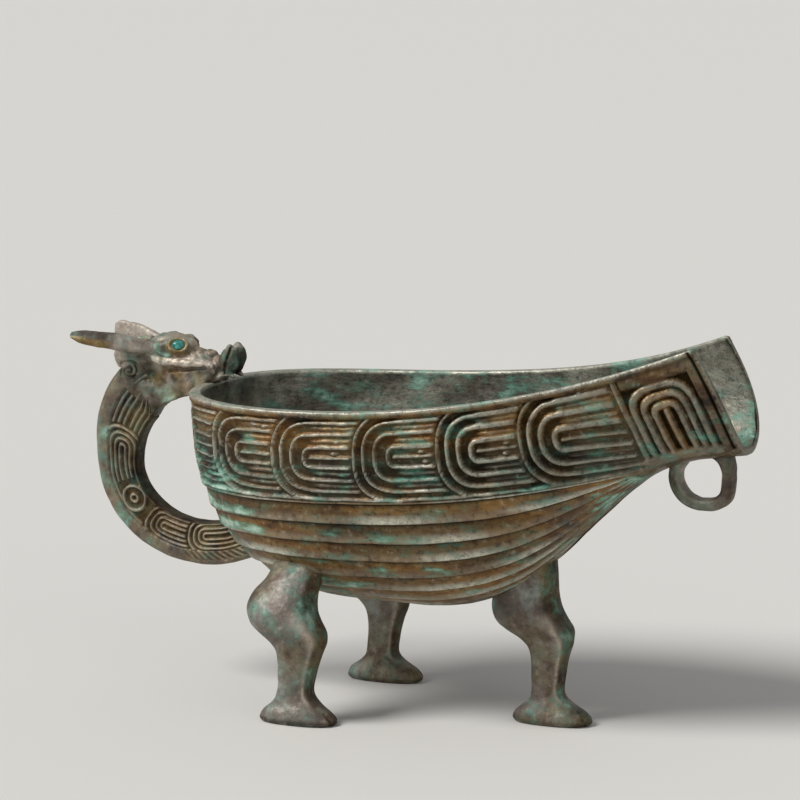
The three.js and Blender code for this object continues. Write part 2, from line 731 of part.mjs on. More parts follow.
function eyeBody(side, grow) {
  return egg([EYE.x, side * EYE.y, EYE.z], Array(3).fill(EYE.radius + grow), 0, 16, 12);
}

const envelope = bowlEnvelope(GAP);
const seatShell = bowlShell(GAP, false);
const legs = [
  ['rear_left_leg', REAR_LEG_SEAT, 1, [REAR_FOOT_X, REAR_FOOT_Y, [0, -1], 0]],
  ['rear_right_leg', REAR_LEG_SEAT, -1, [REAR_FOOT_X, -REAR_FOOT_Y, [0, 1], 0]],
  ['front_leg', FRONT_LEG_SEAT, 1, [FRONT_FOOT_X, 0, [-0.25, 0], FRONT_LEG_RAKE]],
];

let bowl = bowlShell(0, true).add(bandRelief());
for (const [, seat, side] of legs) bowl = bowl.subtract(tenon(seat, side, GAP));
bowl = bowl.subtract(loopTenons(GAP)).subtract(tenon(TAIL_SEAT, 1, GAP));
addPiece('bowl', bowl, bronze);

let head = headBody().subtract(seatShell);
head = head.subtract(strap(NECK_ANGLE + 30, NECK_ANGLE, 6, STRAP_DEPTH + 8, STRAP_WIDTH + 12, 1));
head = head.subtract(strap(NECK_ANGLE + 2, NECK_ANGLE - 16.6, 6, 8 + 2 * GAP, 5 + 2 * GAP, 1));
for (const side of [-1, 1]) {
  head = head.subtract(eyeBody(side, GAP)).subtract(hornTenon(side, GAP)).subtract(hornBody(side, GAP));
}
addPiece('dragon_head', head, greenBronze);

let handle = strap(NECK_ANGLE + 0.6, TAIL_ANGLE, 36, STRAP_DEPTH, STRAP_WIDTH, 2.4).subtract(envelope);
handle = handle.add(strap(NECK_ANGLE + 4, NECK_ANGLE - 16, 5, 8, 5, 1)).add(tenon(TAIL_SEAT, 1, 0));
addPiece('handle_ring', handle, greenBronze);

for (const [side, hand] of [[1, 'left'], [-1, 'right']]) {
  addPiece(`${hand}_horn`, hornBody(side, 0).add(hornTenon(side, 0)), greenBronze);
  addPiece(`${hand}_eye`, eyeBody(side, 0), turquoise);
}

for (const [name, seat, side, stance] of legs) {
  addPiece(name, legBody(...stance).subtract(envelope).add(tenon(seat, side, 0)), greenBronze);
}

addPiece('spout_loop', loopBody().subtract(envelope).add(loopTenons(0)), greenBronze);

export default part;
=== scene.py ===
"""Bronze yi pouring vessel: a footed bowl with a long spout and a dragon for its handle.

Pieces are worked out in millimetres in the part's own frame and stored in metres.
"""

from __future__ import annotations

import logging
import math
from collections.abc import Callable, Sequence
from dataclasses import dataclass, field
from enum import Enum

import bpy
import numpy as np
from mathutils import Euler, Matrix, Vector
from mathutils.bvhtree import BVHTree
from mathutils.kdtree import KDTree

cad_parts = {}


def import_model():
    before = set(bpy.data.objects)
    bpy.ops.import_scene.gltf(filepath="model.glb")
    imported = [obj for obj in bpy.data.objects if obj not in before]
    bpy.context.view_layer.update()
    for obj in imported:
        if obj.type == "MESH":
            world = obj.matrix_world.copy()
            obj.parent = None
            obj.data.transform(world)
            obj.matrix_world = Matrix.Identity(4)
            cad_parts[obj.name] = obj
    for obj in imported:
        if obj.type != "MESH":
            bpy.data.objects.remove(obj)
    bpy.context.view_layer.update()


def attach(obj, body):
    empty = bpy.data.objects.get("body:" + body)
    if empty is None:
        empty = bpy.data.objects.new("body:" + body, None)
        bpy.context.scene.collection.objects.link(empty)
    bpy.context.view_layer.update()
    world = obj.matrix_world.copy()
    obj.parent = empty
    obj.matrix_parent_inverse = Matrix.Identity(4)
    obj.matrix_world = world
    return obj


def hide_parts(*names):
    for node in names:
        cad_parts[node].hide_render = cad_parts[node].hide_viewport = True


LOG = logging.getLogger("yi_vessel")
MM = 0.001
FULL_TURN = 2 * math.pi
UP = np.array([0.0, 0.0, 1.0])
ACROSS = np.array([[0.0, 1.0, 0.0]])
SEAT_DEPTH = 1.5
BALL = {"segments": 32, "ring_count": 20, "radius": MM}

# Numbers that scatter the cells of a random field
CELL_FACTORS = np.array([73856093, 19349663, 83492791])
SEED_FACTOR = 40503
SEED_SHIFT = 31.7
SCATTER = ((13, 1274126177), (11, 668265263))
CODE_LIMIT = 0x7FFFFFFF

# Colour sockets of a Mix node, which share their names with its other sockets
FACTOR, UNDER, OVER, MIXED = 0, 6, 7, 2

Array = np.ndarray
Object = bpy.types.Object
Material = bpy.types.Material
Pairs = tuple[tuple[float, float], ...]
Rows = tuple[tuple[float, ...], ...]

# A place or a half width, and the run over which it eases
Span = tuple[float, float]


class Side(Enum):
    """The two sides of the vessel, by the sign of Y."""

    NEAR = -1
    FAR = 1

    @property
    def mirror(self) -> Array:
        """Factors that carry a point of the far side to this side."""
        return np.array([1.0, self.value, 1.0])

    @property
    def word(self) -> str:
        """Name of this side in the frame's nodes."""
        return "left" if self is Side.FAR else "right"


class Slot(Enum):
    """Material slots of the record."""

    BOWL = "bronze_bowl"
    FITTINGS = "bronze_fittings"
    INLAY = "turquoise_inlay"


class Tone(Enum):
    """Values kept on each point for the bronze finish; the rubbed-wear value also carries painted
    highlight, and the recess dirt value also carries painted shade.
    """

    WEAR_AND_HIGHLIGHT = "worn"
    DIRT_AND_SHADE = "recess"
    OCHRE = "ochre"
    GREEN = "green"
    GREY = "grey"


class Step(Enum):
    """Steps that work up a value of a finish, each as its node and the node's settings."""

    SUM = ("ShaderNodeMath", {"operation": "MULTIPLY_ADD"})
    EASE = ("ShaderNodeMapRange", {"interpolation_type": "SMOOTHSTEP"})
    RANGE = ("ShaderNodeMapRange", {"interpolation_type": "LINEAR"})


Tones = dict[Tone, Array | float]


def linear(code: str) -> tuple[float, ...]:
    """Turn an sRGB hex value into a linear colour.

    Args:
        code: Six hex digits after a hash mark.

    Returns:
        Red, green, blue and a full alpha.
    """
    parts = [int(code[i : i + 2], 16) / 255.0 for i in (1, 3, 5)]
    return *(c / 12.92 if c <= 0.04045 else ((c + 0.055) / 1.055) ** 2.4 for c in parts), 1.0


def per_metre(size: float) -> float:
    """Texture scale whose features are about this many millimetres across."""
    return 1.0 / (size * MM)


def smooth(x: Array) -> Array:
    """Ease from 0 to 1 over the unit interval, flat outside it."""
    x = np.clip(x, 0.0, 1.0)
    return x * x * (3.0 - 2.0 * x)


def rise(x: Array, start: Array | float, run: float) -> Array:
    """Ease from 0 at the start to 1 one run further on."""
    return smooth((x - start) / run)


def fall(x: Array, end: Array | float, run: float) -> Array:
    """Ease from 1 one run before the end to 0 at the end."""
    return smooth((end - x) / run)


def bell(x: Array, middle: float, width: float) -> Array:
    """Bell curve of height 1 about its middle."""
    return np.exp(-(((x - middle) / width) ** 2))


def raised(distance: Array, half: Array | float, soft: float) -> Array:
    """Section of a raised line: 1 within its half width, easing to 0 over its soft edge."""
    return 1.0 - smooth((np.abs(distance) - half) / soft)


def hook_ring(u: Array, w: Array, power: float) -> Array:
    """Distance from a hook's middle: round its closed end, then straight along its arms.

    Args:
        u: Distance along the hook, below 0 in its closed end.
        w: Distance off its middle line.
        power: Squareness of the closed end.

    Returns:
        The distance at each place.
    """
    closed = (np.abs(np.minimum(u, 0.0)) ** power + np.abs(w) ** power) ** (1.0 / power)
    return np.where(u < 0.0, closed, np.abs(w))


def nest(ring: Array, lines: Sequence[float], half: float, soft: float) -> Array:
    """Raised lines at set distances from a hook's middle."""
    return np.max([raised(ring - line, half, soft) for line in lines], axis=0)


def unit(rows: Array) -> Array:
    """Scale rows of three to length 1."""
    return rows / np.linalg.norm(rows, axis=-1, keepdims=True)


def travel(rows: Array) -> Array:
    """Distance along a run of points, from 0 at the first."""
    return np.concatenate([[0.0], np.cumsum(np.linalg.norm(np.diff(rows, axis=0), axis=1))])


def spline(knots: Sequence[Sequence[float]], x: Array) -> Array:
    """Smooth curve through knots, by cubic steps with even slopes.

    Args:
        knots: Pairs of place and value, in rising order of place.
        x: Places to read.

    Returns:
        The value at each place.
    """
    at, value = np.array(knots, float).T
    last = len(at) - 1
    low = np.maximum(np.arange(last + 1) - 1, 0)
    high = np.minimum(np.arange(last + 1) + 1, last)
    slope = (value[high] - value[low]) / (at[high] - at[low])
    i = np.clip(np.searchsorted(at, x, side="right") - 1, 0, last - 1)
    span = at[i + 1] - at[i]
    t = np.clip((x - at[i]) / span, 0.0, 1.0)
    s = 1.0 - t
    start = s * s * ((1.0 + 2.0 * t) * value[i] + t * span * slope[i])
    end = t * t * ((3.0 - 2.0 * t) * value[i + 1] - s * span * slope[i + 1])
    return start + end


def thread(knots: Sequence[Sequence[float]], count: int) -> Array:
    """Smooth run of values through rows of knots.

    Args:
        knots: Rows of values, evenly spaced along the run.
        count: How many rows to give.

    Returns:
        The rows along the run.
    """
    rows = np.array(knots, float)
    place = np.linspace(0.0, len(rows) - 1.0, count)
    return np.stack([spline(list(enumerate(column)), place) for column in rows.T], 1)


def lumps(points: Array, size: float, seed: int) -> Array:
    """Smooth random field from -1 to 1 for cast unevenness and patchy patina.

    Args:
        points: Places in millimetres, one row each.
        size: Width of a lump in millimetres.
        seed: Picks one field out of many.

    Returns:
        The field's value at each place.
    """
    q = points.reshape(-1, 3) / size + SEED_SHIFT * seed
    cell = np.floor(q).astype(np.int64)
    part = smooth(q - cell)
    total = np.zeros(len(q))
    for corner in np.ndindex(2, 2, 2):
        x, y, z = ((cell + np.array(corner)) * CELL_FACTORS).T
        code = x ^ y ^ z ^ (seed + 1) * SEED_FACTOR
        for shift, factor in SCATTER:
            code = ((code ^ (code >> shift)) * factor) & CODE_LIMIT
        weight = np.prod(np.where(np.array(corner) == 1, part, 1.0 - part), axis=1)
        total += weight * (code / (CODE_LIMIT // 2) - 1.0)
    return total.reshape(points.shape[:-1])


def layered(points: Array, layers: Pairs, seed: int) -> Array:
    """Lumps laid over each other, from pairs of lump width and height in millimetres."""
    return sum(height * lumps(points, width, seed + i) for i, (width, height) in enumerate(layers))


def oval(count: int, bend: Array | float) -> tuple[Array, Array]:
    """Cosines and sines round a ring, squared off where the bend is under 1.

    Args:
        count: Points round the ring.
        bend: Power of both, one for all rings or a column of them.

    Returns:
        Cosines and sines, as rings by points.
    """
    turn = np.linspace(0.0, FULL_TURN, count, endpoint=False)[None, :]
    c, s = np.cos(turn), np.sin(turn)
    return np.sign(c) * np.abs(c) ** bend, np.sign(s) * np.abs(s) ** bend


def axes(path: Array, up: Sequence[float]) -> tuple[Array, Array, Array]:
    """Directions along a path and square to it.

    Args:
        path: Points of the path.
        up: Direction that the second one is square to.

    Returns:
        Ahead, square to it and to the one given, and square to both.
    """
    ahead = unit(np.gradient(path, axis=0))
    across = unit(np.cross(ahead, np.array(up)))
    return ahead, across, np.cross(across, ahead)


def sweep(path: Array, first: Array, second: Array, a: Array, b: Array) -> Array:
    """Rings about a path.

    Args:
        path: Middles of the rings.
        first: One direction of each ring.
        second: The other direction of each ring.
        a: Offsets along the first direction, as rings by points.
        b: Offsets along the second direction, as rings by points.

    Returns:
        Points as rings by points by three.
    """
    return path[:, None] + first[:, None] * a[..., None] + second[:, None] * b[..., None]


def nearest(source: Array, points: Array) -> Array:
    """Number of the source point nearest to each point.

    Args:
        source: Points to search.
        points: Points to look up.

    Returns:
        One number per point.
    """
    tree = KDTree(len(source))
    for i, spot in enumerate(source):
        tree.insert(Vector(spot), i)
    tree.balance()
    return np.array([tree.find(Vector(p))[1] for p in points])


def select_only(*pieces: Object) -> None:
    """Select these objects and nothing else.

    Args:
        *pieces: The objects, of which the first becomes the active one.
    """
    bpy.ops.object.select_all(action="DESELECT")
    for piece in pieces:
        piece.select_set(True)
    bpy.context.view_layer.objects.active = pieces[0]


def points_of(piece: Object) -> Array:
    """Read a mesh object's points.

    Args:
        piece: The object.

    Returns:
        Rows of three, in millimetres.
    """
    flat = np.empty(len(piece.data.vertices) * 3)
    piece.data.vertices.foreach_get("co", flat)
    return flat.reshape(-1, 3) / MM


def set_points(piece: Object, points: Array) -> None:
    """Store a mesh object's points, given in millimetres."""
    piece.data.vertices.foreach_set("co", (points.reshape(-1, 3) * MM).ravel())
    piece.data.update()


def normals_of(piece: Object) -> Array:
    """Read the outward direction at each point of a mesh object.

    Args:
        piece: The object.

    Returns:
        Rows of three, one per point.
    """
    flat = np.empty(len(piece.data.vertices) * 3)
    piece.data.vertex_normals.foreach_get("vector", flat)
    return flat.reshape(-1, 3)


def spread(tones: Tones, shape: tuple[int, ...]) -> Tones:
    """Lay tones out over a grid, in row order."""
    return {tone: np.broadcast_to(value, shape).ravel() for tone, value in tones.items()}


def set_tones(piece: Object, tones: Tones) -> None:
    """Keep the finish's values on the points of a mesh object.

    Args:
        piece: The object.
        tones: For each tone, values from 0 to 1, one per point or one for all.
    """
    count = len(piece.data.vertices)
    for tone, values in spread(tones, (count,)).items():
        held = piece.data.attributes.new(tone.value, "FLOAT", "POINT")
        held.data.foreach_set("value", np.clip(values, 0.0, 1.0).astype(np.float32))


def add_primitive(operator: Callable[..., set[str]], **settings: object) -> Object:
    """Deselect everything and add a mesh primitive.

    Args:
        operator: The operator that adds it.
        **settings: The operator's settings.

    Returns:
        The new object.
    """
    bpy.ops.object.select_all(action="DESELECT")
    operator(**settings)
    return bpy.context.active_object


def add_sheet(points: Array) -> Object:
    """Lay a grid over rows of points.

    Args:
        points: Millimetres, as rows by columns by three.

    Returns:
        The new object, with its points in row order.
    """
    rows, columns = points.shape[:2]
    cells = {"x_subdivisions": columns - 1, "y_subdivisions": rows - 1}
    piece = add_primitive(bpy.ops.mesh.primitive_grid_add, size=1.0, **cells)
    set_points(piece, points)
    return piece


def add_loft(rings: Array, start: Array, end: Array) -> Object:
    """Draw a ball out through closed rings, with its poles as the two ends.

    Args:
        rings: Millimetres, as rings by points round each by three.
        start: Middle of the end before the first ring.
        end: Middle of the end after the last ring.

    Returns:
        The new object.
    """
    count, around = rings.shape[:2]
    cells = {"segments": around, "ring_count": count + 1}
    piece = add_primitive(bpy.ops.mesh.primitive_uv_sphere_add, radius=1.0, **cells)
    x, y, z = points_of(piece).T * MM
    ring = np.rint((np.arccos(np.clip(-z, -1, 1)) / math.pi) * (count + 1)).astype(int)
    turn = np.rint(np.arctan2(y, x) / FULL_TURN * around).astype(int) % around
    placed = rings[np.clip(ring - 1, 0, count - 1), turn]
    placed[ring <= 0] = start
    placed[ring > count] = end
    set_points(piece, placed)
    close_up(piece, 0.0005)
    return piece


def add_rod(knots: Sequence[Sequence[float]], count: int = 24, around: int = 16) -> Object:
    """Add a round rod that swells and thins along a path.

    Args:
        knots: Rows of X, Y, Z and the half sizes in the side view and across it.
        count: Rings along the rod.
        around: Points round each ring.

    Returns:
        The new object.
    """
    tip = 0.6
    run = thread(knots, count)
    path = run[:, :3]
    ahead, side, across = axes(path, ACROSS[0])
    c, s = oval(around, 1.0)
    rings = sweep(path, side, across, c * run[:, 3:4], s * run[:, 4:5])
    start, end = path[[0, -1]] + np.stack([-ahead[0], ahead[-1]]) * run[[0, -1], 3:4] * tip
    return add_loft(rings, start, end)


def add_egg(at: Sequence[float], radii: Sequence[float], turn: Sequence[float]) -> Object:
    """Add a ball drawn out to three radii.

    Args:
        at: Its middle in millimetres.
        radii: Its half lengths along its own X, Y and Z.
        turn: Its angles about X, Y and Z.

    Returns:
        The new object.
    """
    place = {"location": np.array(at) * MM, "rotation": turn}
    piece = add_primitive(bpy.ops.mesh.primitive_uv_sphere_add, **place, **BALL)
    piece.scale = radii
    bpy.ops.object.transform_apply(location=True, rotation=True, scale=True)
    return piece


def add_slab(outline: Pairs, half: float) -> Object:
    """Add a flat plate from its side outline.

    Args:
        outline: Corners in X and Z, in millimetres.
        half: Half its thickness along Y.

    Returns:
        The new object.
    """
    corners = {"vertices": len(outline), "fill_type": "NGON"}
    piece = add_primitive(bpy.ops.mesh.primitive_circle_add, radius=MM, **corners)
    set_points(piece, np.array([(x, -half, z) for x, z in outline]))
    bpy.ops.object.mode_set(mode="EDIT")
    bpy.ops.mesh.select_all(action="SELECT")
    bpy.ops.mesh.extrude_region_move(TRANSFORM_OT_translate={"value": (0.0, 2 * half * MM, 0.0)})
    bpy.ops.mesh.select_all(action="SELECT")
    bpy.ops.mesh.normals_make_consistent(inside=False)
    bpy.ops.object.mode_set(mode="OBJECT")
    return piece


def join(pieces: Sequence[Object]) -> Object:
    """Join objects into the mesh of the first.

    Args:
        pieces: The objects.

    Returns:
        The first object, which then holds them all.
    """
    select_only(*pieces)
    bpy.ops.object.join()
    return bpy.context.active_object


def close_up(piece: Object, distance: float) -> None:
    """Merge doubled points and turn the faces outwards.

    Args:
        piece: The object.
        distance: How near doubled points lie, in millimetres.
    """
    select_only(piece)
    bpy.ops.object.mode_set(mode="EDIT")
    bpy.ops.mesh.select_all(action="SELECT")
    bpy.ops.mesh.remove_doubles(threshold=distance * MM)
    bpy.ops.mesh.normals_make_consistent(inside=False)
    bpy.ops.object.mode_set(mode="OBJECT")


def bridge(piece: Object, first: Array, second: Array) -> None:
    """Join two open chains of points with a strip of faces.

    Args:
        piece: The object that holds both chains.
        first: Point numbers along one chain.
        second: Point numbers along the other.
    """
    select_only(piece)
    mesh = piece.data
    place = np.full(len(mesh.vertices), -10)
    place[first] = np.arange(len(first))
    place[second] = np.arange(len(second)) + len(mesh.vertices)
    ends = np.empty(len(mesh.edges) * 2, int)
    mesh.edges.foreach_get("vertices", ends)
    ends = place[ends.reshape(-1, 2)]
    on_chain = (ends.min(1) >= 0) & (np.abs(ends[:, 0] - ends[:, 1]) == 1)
    mesh.polygons.foreach_set("select", np.zeros(len(mesh.polygons), bool))
    mesh.vertices.foreach_set("select", place >= 0)
    mesh.edges.foreach_set("select", on_chain)
    bpy.context.tool_settings.mesh_select_mode = (False, True, False)
    bpy.ops.object.mode_set(mode="EDIT")
    bpy.ops.mesh.bridge_edge_loops()
    bpy.ops.object.mode_set(mode="OBJECT")
    bpy.context.tool_settings.mesh_select_mode = (True, False, False)


def apply_modifier(piece: Object, kind: str, **settings: float | str) -> None:
    """Add a modifier and apply it.

    Args:
        piece: The object.
        kind: The modifier's type.
        **settings: The modifier's own settings.
    """
    select_only(piece)
    made = piece.modifiers.new(kind.lower(), kind)
    for key, value in settings.items():
        setattr(made, key, value)
    bpy.ops.object.modifier_apply(modifier=made.name)


def roughen(piece: Object, layers: Pairs, seed: int, share: Array | float = 1.0) -> None:
    """Give a cast surface its unevenness, square to the skin.

    Args:
        piece: The object.
        layers: Pairs of lump width and height in millimetres.
        seed: Picks the random field.
        share: How much of it each point takes.
    """
    points = points_of(piece)
    shift = layered(points, layers, seed) * share
    set_points(piece, points + normals_of(piece) * shift[:, None])


def seat(piece: Object, skin: BVHTree) -> None:
    """Press a piece's buried end against the bowl, a little way into its wall.

    Args:
        piece: The object.
        skin: The bowl's outer skin.
    """
    points = points_of(piece)
    for i, point in enumerate(points):
        found, normal, _, _ = skin.find_nearest(Vector(point))
        outward = np.array(normal)
        below = float((np.array(found) - point) @ outward)
        if below > SEAT_DEPTH:
            points[i] = np.array(found) - outward * SEAT_DEPTH
    set_points(piece, points)


def settle(piece: Object, node: str, finish: Material) -> None:
    """Give a finished piece its place in the frame and its finish.

    Args:
        piece: The object.
        node: The frame's node that it stands for.
        finish: The material.
    """
    select_only(piece)
    piece.name = piece.data.name = f"{node}_visual"
    bpy.ops.object.shade_smooth()
    piece.data.materials.clear()
    piece.data.materials.append(finish)
    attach(piece, "root")
    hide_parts(node)
    LOG.info("%s: %d faces for %s", piece.name, len(piece.data.polygons), node)


@dataclass(frozen=True)
class Ribs:
    """Ribs of the bowl: where each stands, and its curve from the rim to the keel.

    The rim is at x and z, across leads out to it, drop is its height over the keel, and lean is
    how far the keel lies ahead. One row of out, down and length follows the curve of each rib.
    """

    x: Array
    z: Array
    across: Array
    drop: Array
    lean: Array
    out: Array
    down: Array
    length: Array

    @property
    def total(self) -> Array:
        """Length of each rib from the rim to the keel."""
        return self.length[:, -1]


@dataclass(frozen=True)
class BowlForm:
    """Sizes of the bowl and the rule that places any point of its wall."""

    middle_x: float = -5.8
    rear_reach: float = 75.6
    half_width: float = 50.5
    rear_bluntness: float = 2.6
    lip_x: float = 114.1
    lip_half_width: float = 18.0
    lip_taper: float = 1.12
    rim_z: float = 114.8
    lip_z: float = 142.1
    rim_sweep: float = 2.95
    lip_foot_x: float = 129.4
    lip_round: float = 1.6
    keel: Pairs = (
        (-5.8, 40.8), (20.0, 41.2), (36.0, 45.4), (48.0, 52.4), (58.0, 61.1),
        (73.1, 76.1), (92.2, 92.4), (107.6, 99.4), (129.4, 103.4),
    )
    rear_power: float = 2.6
    spout_power: float = 2.35
    wall: float = 3.6
    floor: float = 5.2
    lip_wall_gain: float = 0.04
    lip_thinner: float = 2.0
    lip_thins_from: float = 0.82
    floor_thins: float = 1.2
    rim_strip: float = 2.9
    band_depth: float = 32.4
    band_depth_at_spout: float = 34.6
    band_limit: float = 0.93
    steps: int = 160
    skin_columns: int = 161
    skin_rows: int = 90

    @staticmethod
    def front(turn: Array) -> Array:
        """Share of the way from the bowl's middle to the lip."""
        return np.maximum(2.0 * turn - 1.0, 0.0)

    def rim_height(self, x: Array) -> Array:
        """Height of the rim, sweeping up to the lip.

        Args:
            x: Places along the vessel.

        Returns:
            The height at each place.
        """
        rear = self.middle_x - self.rear_reach
        along = np.maximum((x - rear) / (self.lip_x - rear), 0.0)
        return self.rim_z + (self.lip_z - self.rim_z) * along**self.rim_sweep

    def ribs(self, turn: Array, inset: Array | float = 0.0, floor: Array | float = 0.0) -> Ribs:
        """Work out ribs of the wall.

        Args:
            turn: 0 at the rear, 0.5 abreast of the bowl's middle and 1 at the lip.
            inset: How far in from the outer skin.
            floor: How far up from the keel.

        Returns:
            The ribs, one per turn.
        """
        front = self.front(turn)
        keel_x = self.middle_x + (self.lip_foot_x - self.middle_x) * front
        keel_z = spline(self.keel, keel_x) + floor
        power = (self.rear_power + (self.spout_power - self.rear_power) * turn)[:, None]
        rear = turn <= 0.5
        angle = math.pi * np.minimum(turn, 0.5)
        bend = 2.0 / self.rear_bluntness
        rear_x = -(self.rear_reach - inset) * np.maximum(np.cos(angle), 0.0) ** bend
        rear_y = (self.half_width - inset) * np.sin(angle) ** bend
        spout_x = self.middle_x + (self.lip_x - self.middle_x) * front
        flare = np.maximum(np.cos(front * math.pi / 2), 0.0) ** self.lip_taper
        spout_y = self.lip_half_width + (self.half_width - self.lip_half_width) * flare
        spout_y = spout_y - inset * (1.0 + self.lip_wall_gain * front)
        z = self.rim_height(np.where(rear, self.middle_x + rear_x, spout_x))
        across = np.stack([np.where(rear, rear_x, 0.0), np.where(rear, rear_y, spout_y)], 1)
        drop = z - keel_z
        arc = np.linspace(0.0, math.pi / 2, self.steps + 1)[None, :]
        wide = np.linalg.norm(across, axis=1)[:, None]
        out = wide * np.maximum(np.cos(arc), 0.0) ** (2.0 / power)
        out[:, -1] = 0.0
        down = drop[:, None] * np.sin(arc) ** (2.0 / power)
        pace = np.hypot(np.diff(out, axis=1), np.diff(down, axis=1))
        length = np.concatenate([np.zeros((len(turn), 1)), np.cumsum(pace, axis=1)], axis=1)
        x = np.where(rear, self.middle_x, spout_x)
        lean = np.where(rear, 0.0, keel_x - spout_x)
        return Ribs(x, z, across, drop, lean, out, down, length)

    def inner_ribs(self, turn: Array) -> Ribs:
        """Ribs of the inside, whose wall thins toward the lip."""
        thinner = self.lip_thinner * rise(turn, self.lip_thins_from, 1.0 - self.lip_thins_from)
        return self.ribs(turn, self.wall - thinner, self.floor - self.floor_thins * thinner)

    def band_end(self, ribs: Ribs, turn: Array) -> Array:
        """Find where the ornament band ends.

        Args:
            ribs: The ribs.
            turn: The turn of each rib.

        Returns:
            Length along each rib.
        """
        depth = self.band_depth + (self.band_depth_at_spout - self.band_depth) * self.front(turn)
        depth = np.minimum(depth, self.band_limit * ribs.drop)
        return np.array([np.interp(d, ribs.down[i], ribs.length[i]) for i, d in enumerate(depth)])

    def place(self, ribs: Ribs, at: Array, lift: Array, side: Array) -> Array:
        """Place points of the wall.

        Args:
            ribs: The ribs, one per column.
            at: Lengths along the ribs, as rows by columns.
            lift: Heights off the skin, as rows by columns.
            side: Sign of Y for each column.

        Returns:
            Points as rows by columns by three.
        """
        out, down = np.empty_like(at), np.empty_like(at)
        for i in range(at.shape[1]):
            spot, length = np.minimum(at[:, i], ribs.total[i]), ribs.length[i]
            step = np.clip(np.searchsorted(length, spot, side="right") - 1, 0, self.steps - 1)
            run = length[step + 1] - length[step]
            slope_out = (ribs.out[i][step + 1] - ribs.out[i][step]) / run
            slope_down = (ribs.down[i][step + 1] - ribs.down[i][step]) / run
            beyond = spot - length[step]
            at_keel = spot >= ribs.total[i] - 1e-6
            out[:, i] = ribs.out[i][step] + slope_out * beyond + lift[:, i] * slope_down
            down[:, i] = ribs.down[i][step] + slope_down * beyond - lift[:, i] * slope_out
            out[:, i] = np.where(at_keel, 0.0, out[:, i])
            down[:, i] = np.where(at_keel, ribs.drop[i] + lift[:, i], down[:, i])
        share = np.maximum(out, 0.0) / np.linalg.norm(ribs.across, axis=1)
        sunk = np.clip(down / ribs.drop, 0.0, 1.0)
        forward = ribs.lean * (1.0 - (1.0 - sunk) ** self.lip_round)
        x = ribs.x + ribs.across[:, 0] * share + forward
        return np.stack([x, side * ribs.across[:, 1] * share, ribs.z - down], axis=2)

    def band_arc(self, count: int = 1201) -> tuple[Array, Array]:
        """Turns and the distance along the middle of the band, from the rear to the lip.

        Args:
            count: How many places to give.

        Returns:
            The turns and the distances.
        """
        turn = np.linspace(0.0, 1.0, count)
        ribs = self.ribs(turn)
        middle = (self.rim_strip + self.band_end(ribs, turn)) / 2
        spots = self.place(ribs, middle[None, :], np.zeros((1, count)), np.ones(count))[0]
        return turn, travel(spots)

    def skin(self) -> BVHTree:
        """Lay out the outer skin, for seating other pieces on it.

        Returns:
            The skin as a search tree.
        """
        turn = np.linspace(0.0, 1.0, self.skin_columns)
        turn = np.concatenate([turn[::-1], turn[1:]])
        side = np.where(np.arange(len(turn)) < self.skin_columns, -1.0, 1.0)
        ribs = self.ribs(turn)
        at = np.linspace(0.0, 1.0, self.skin_rows)[:, None] * ribs.total
        grid = self.place(ribs, at, np.zeros_like(at), side)
        rows, columns = grid.shape[:2]
        number = np.arange(rows * columns).reshape(rows, columns)[:-1]
        corners = (number[:-1, :-1], number[:-1, 1:], number[1:, 1:], number[1:, :-1])
        faces = np.stack([corner.ravel() for corner in corners], 1)
        return BVHTree.FromPolygons(grid.reshape(-1, 3).tolist(), faces.tolist())


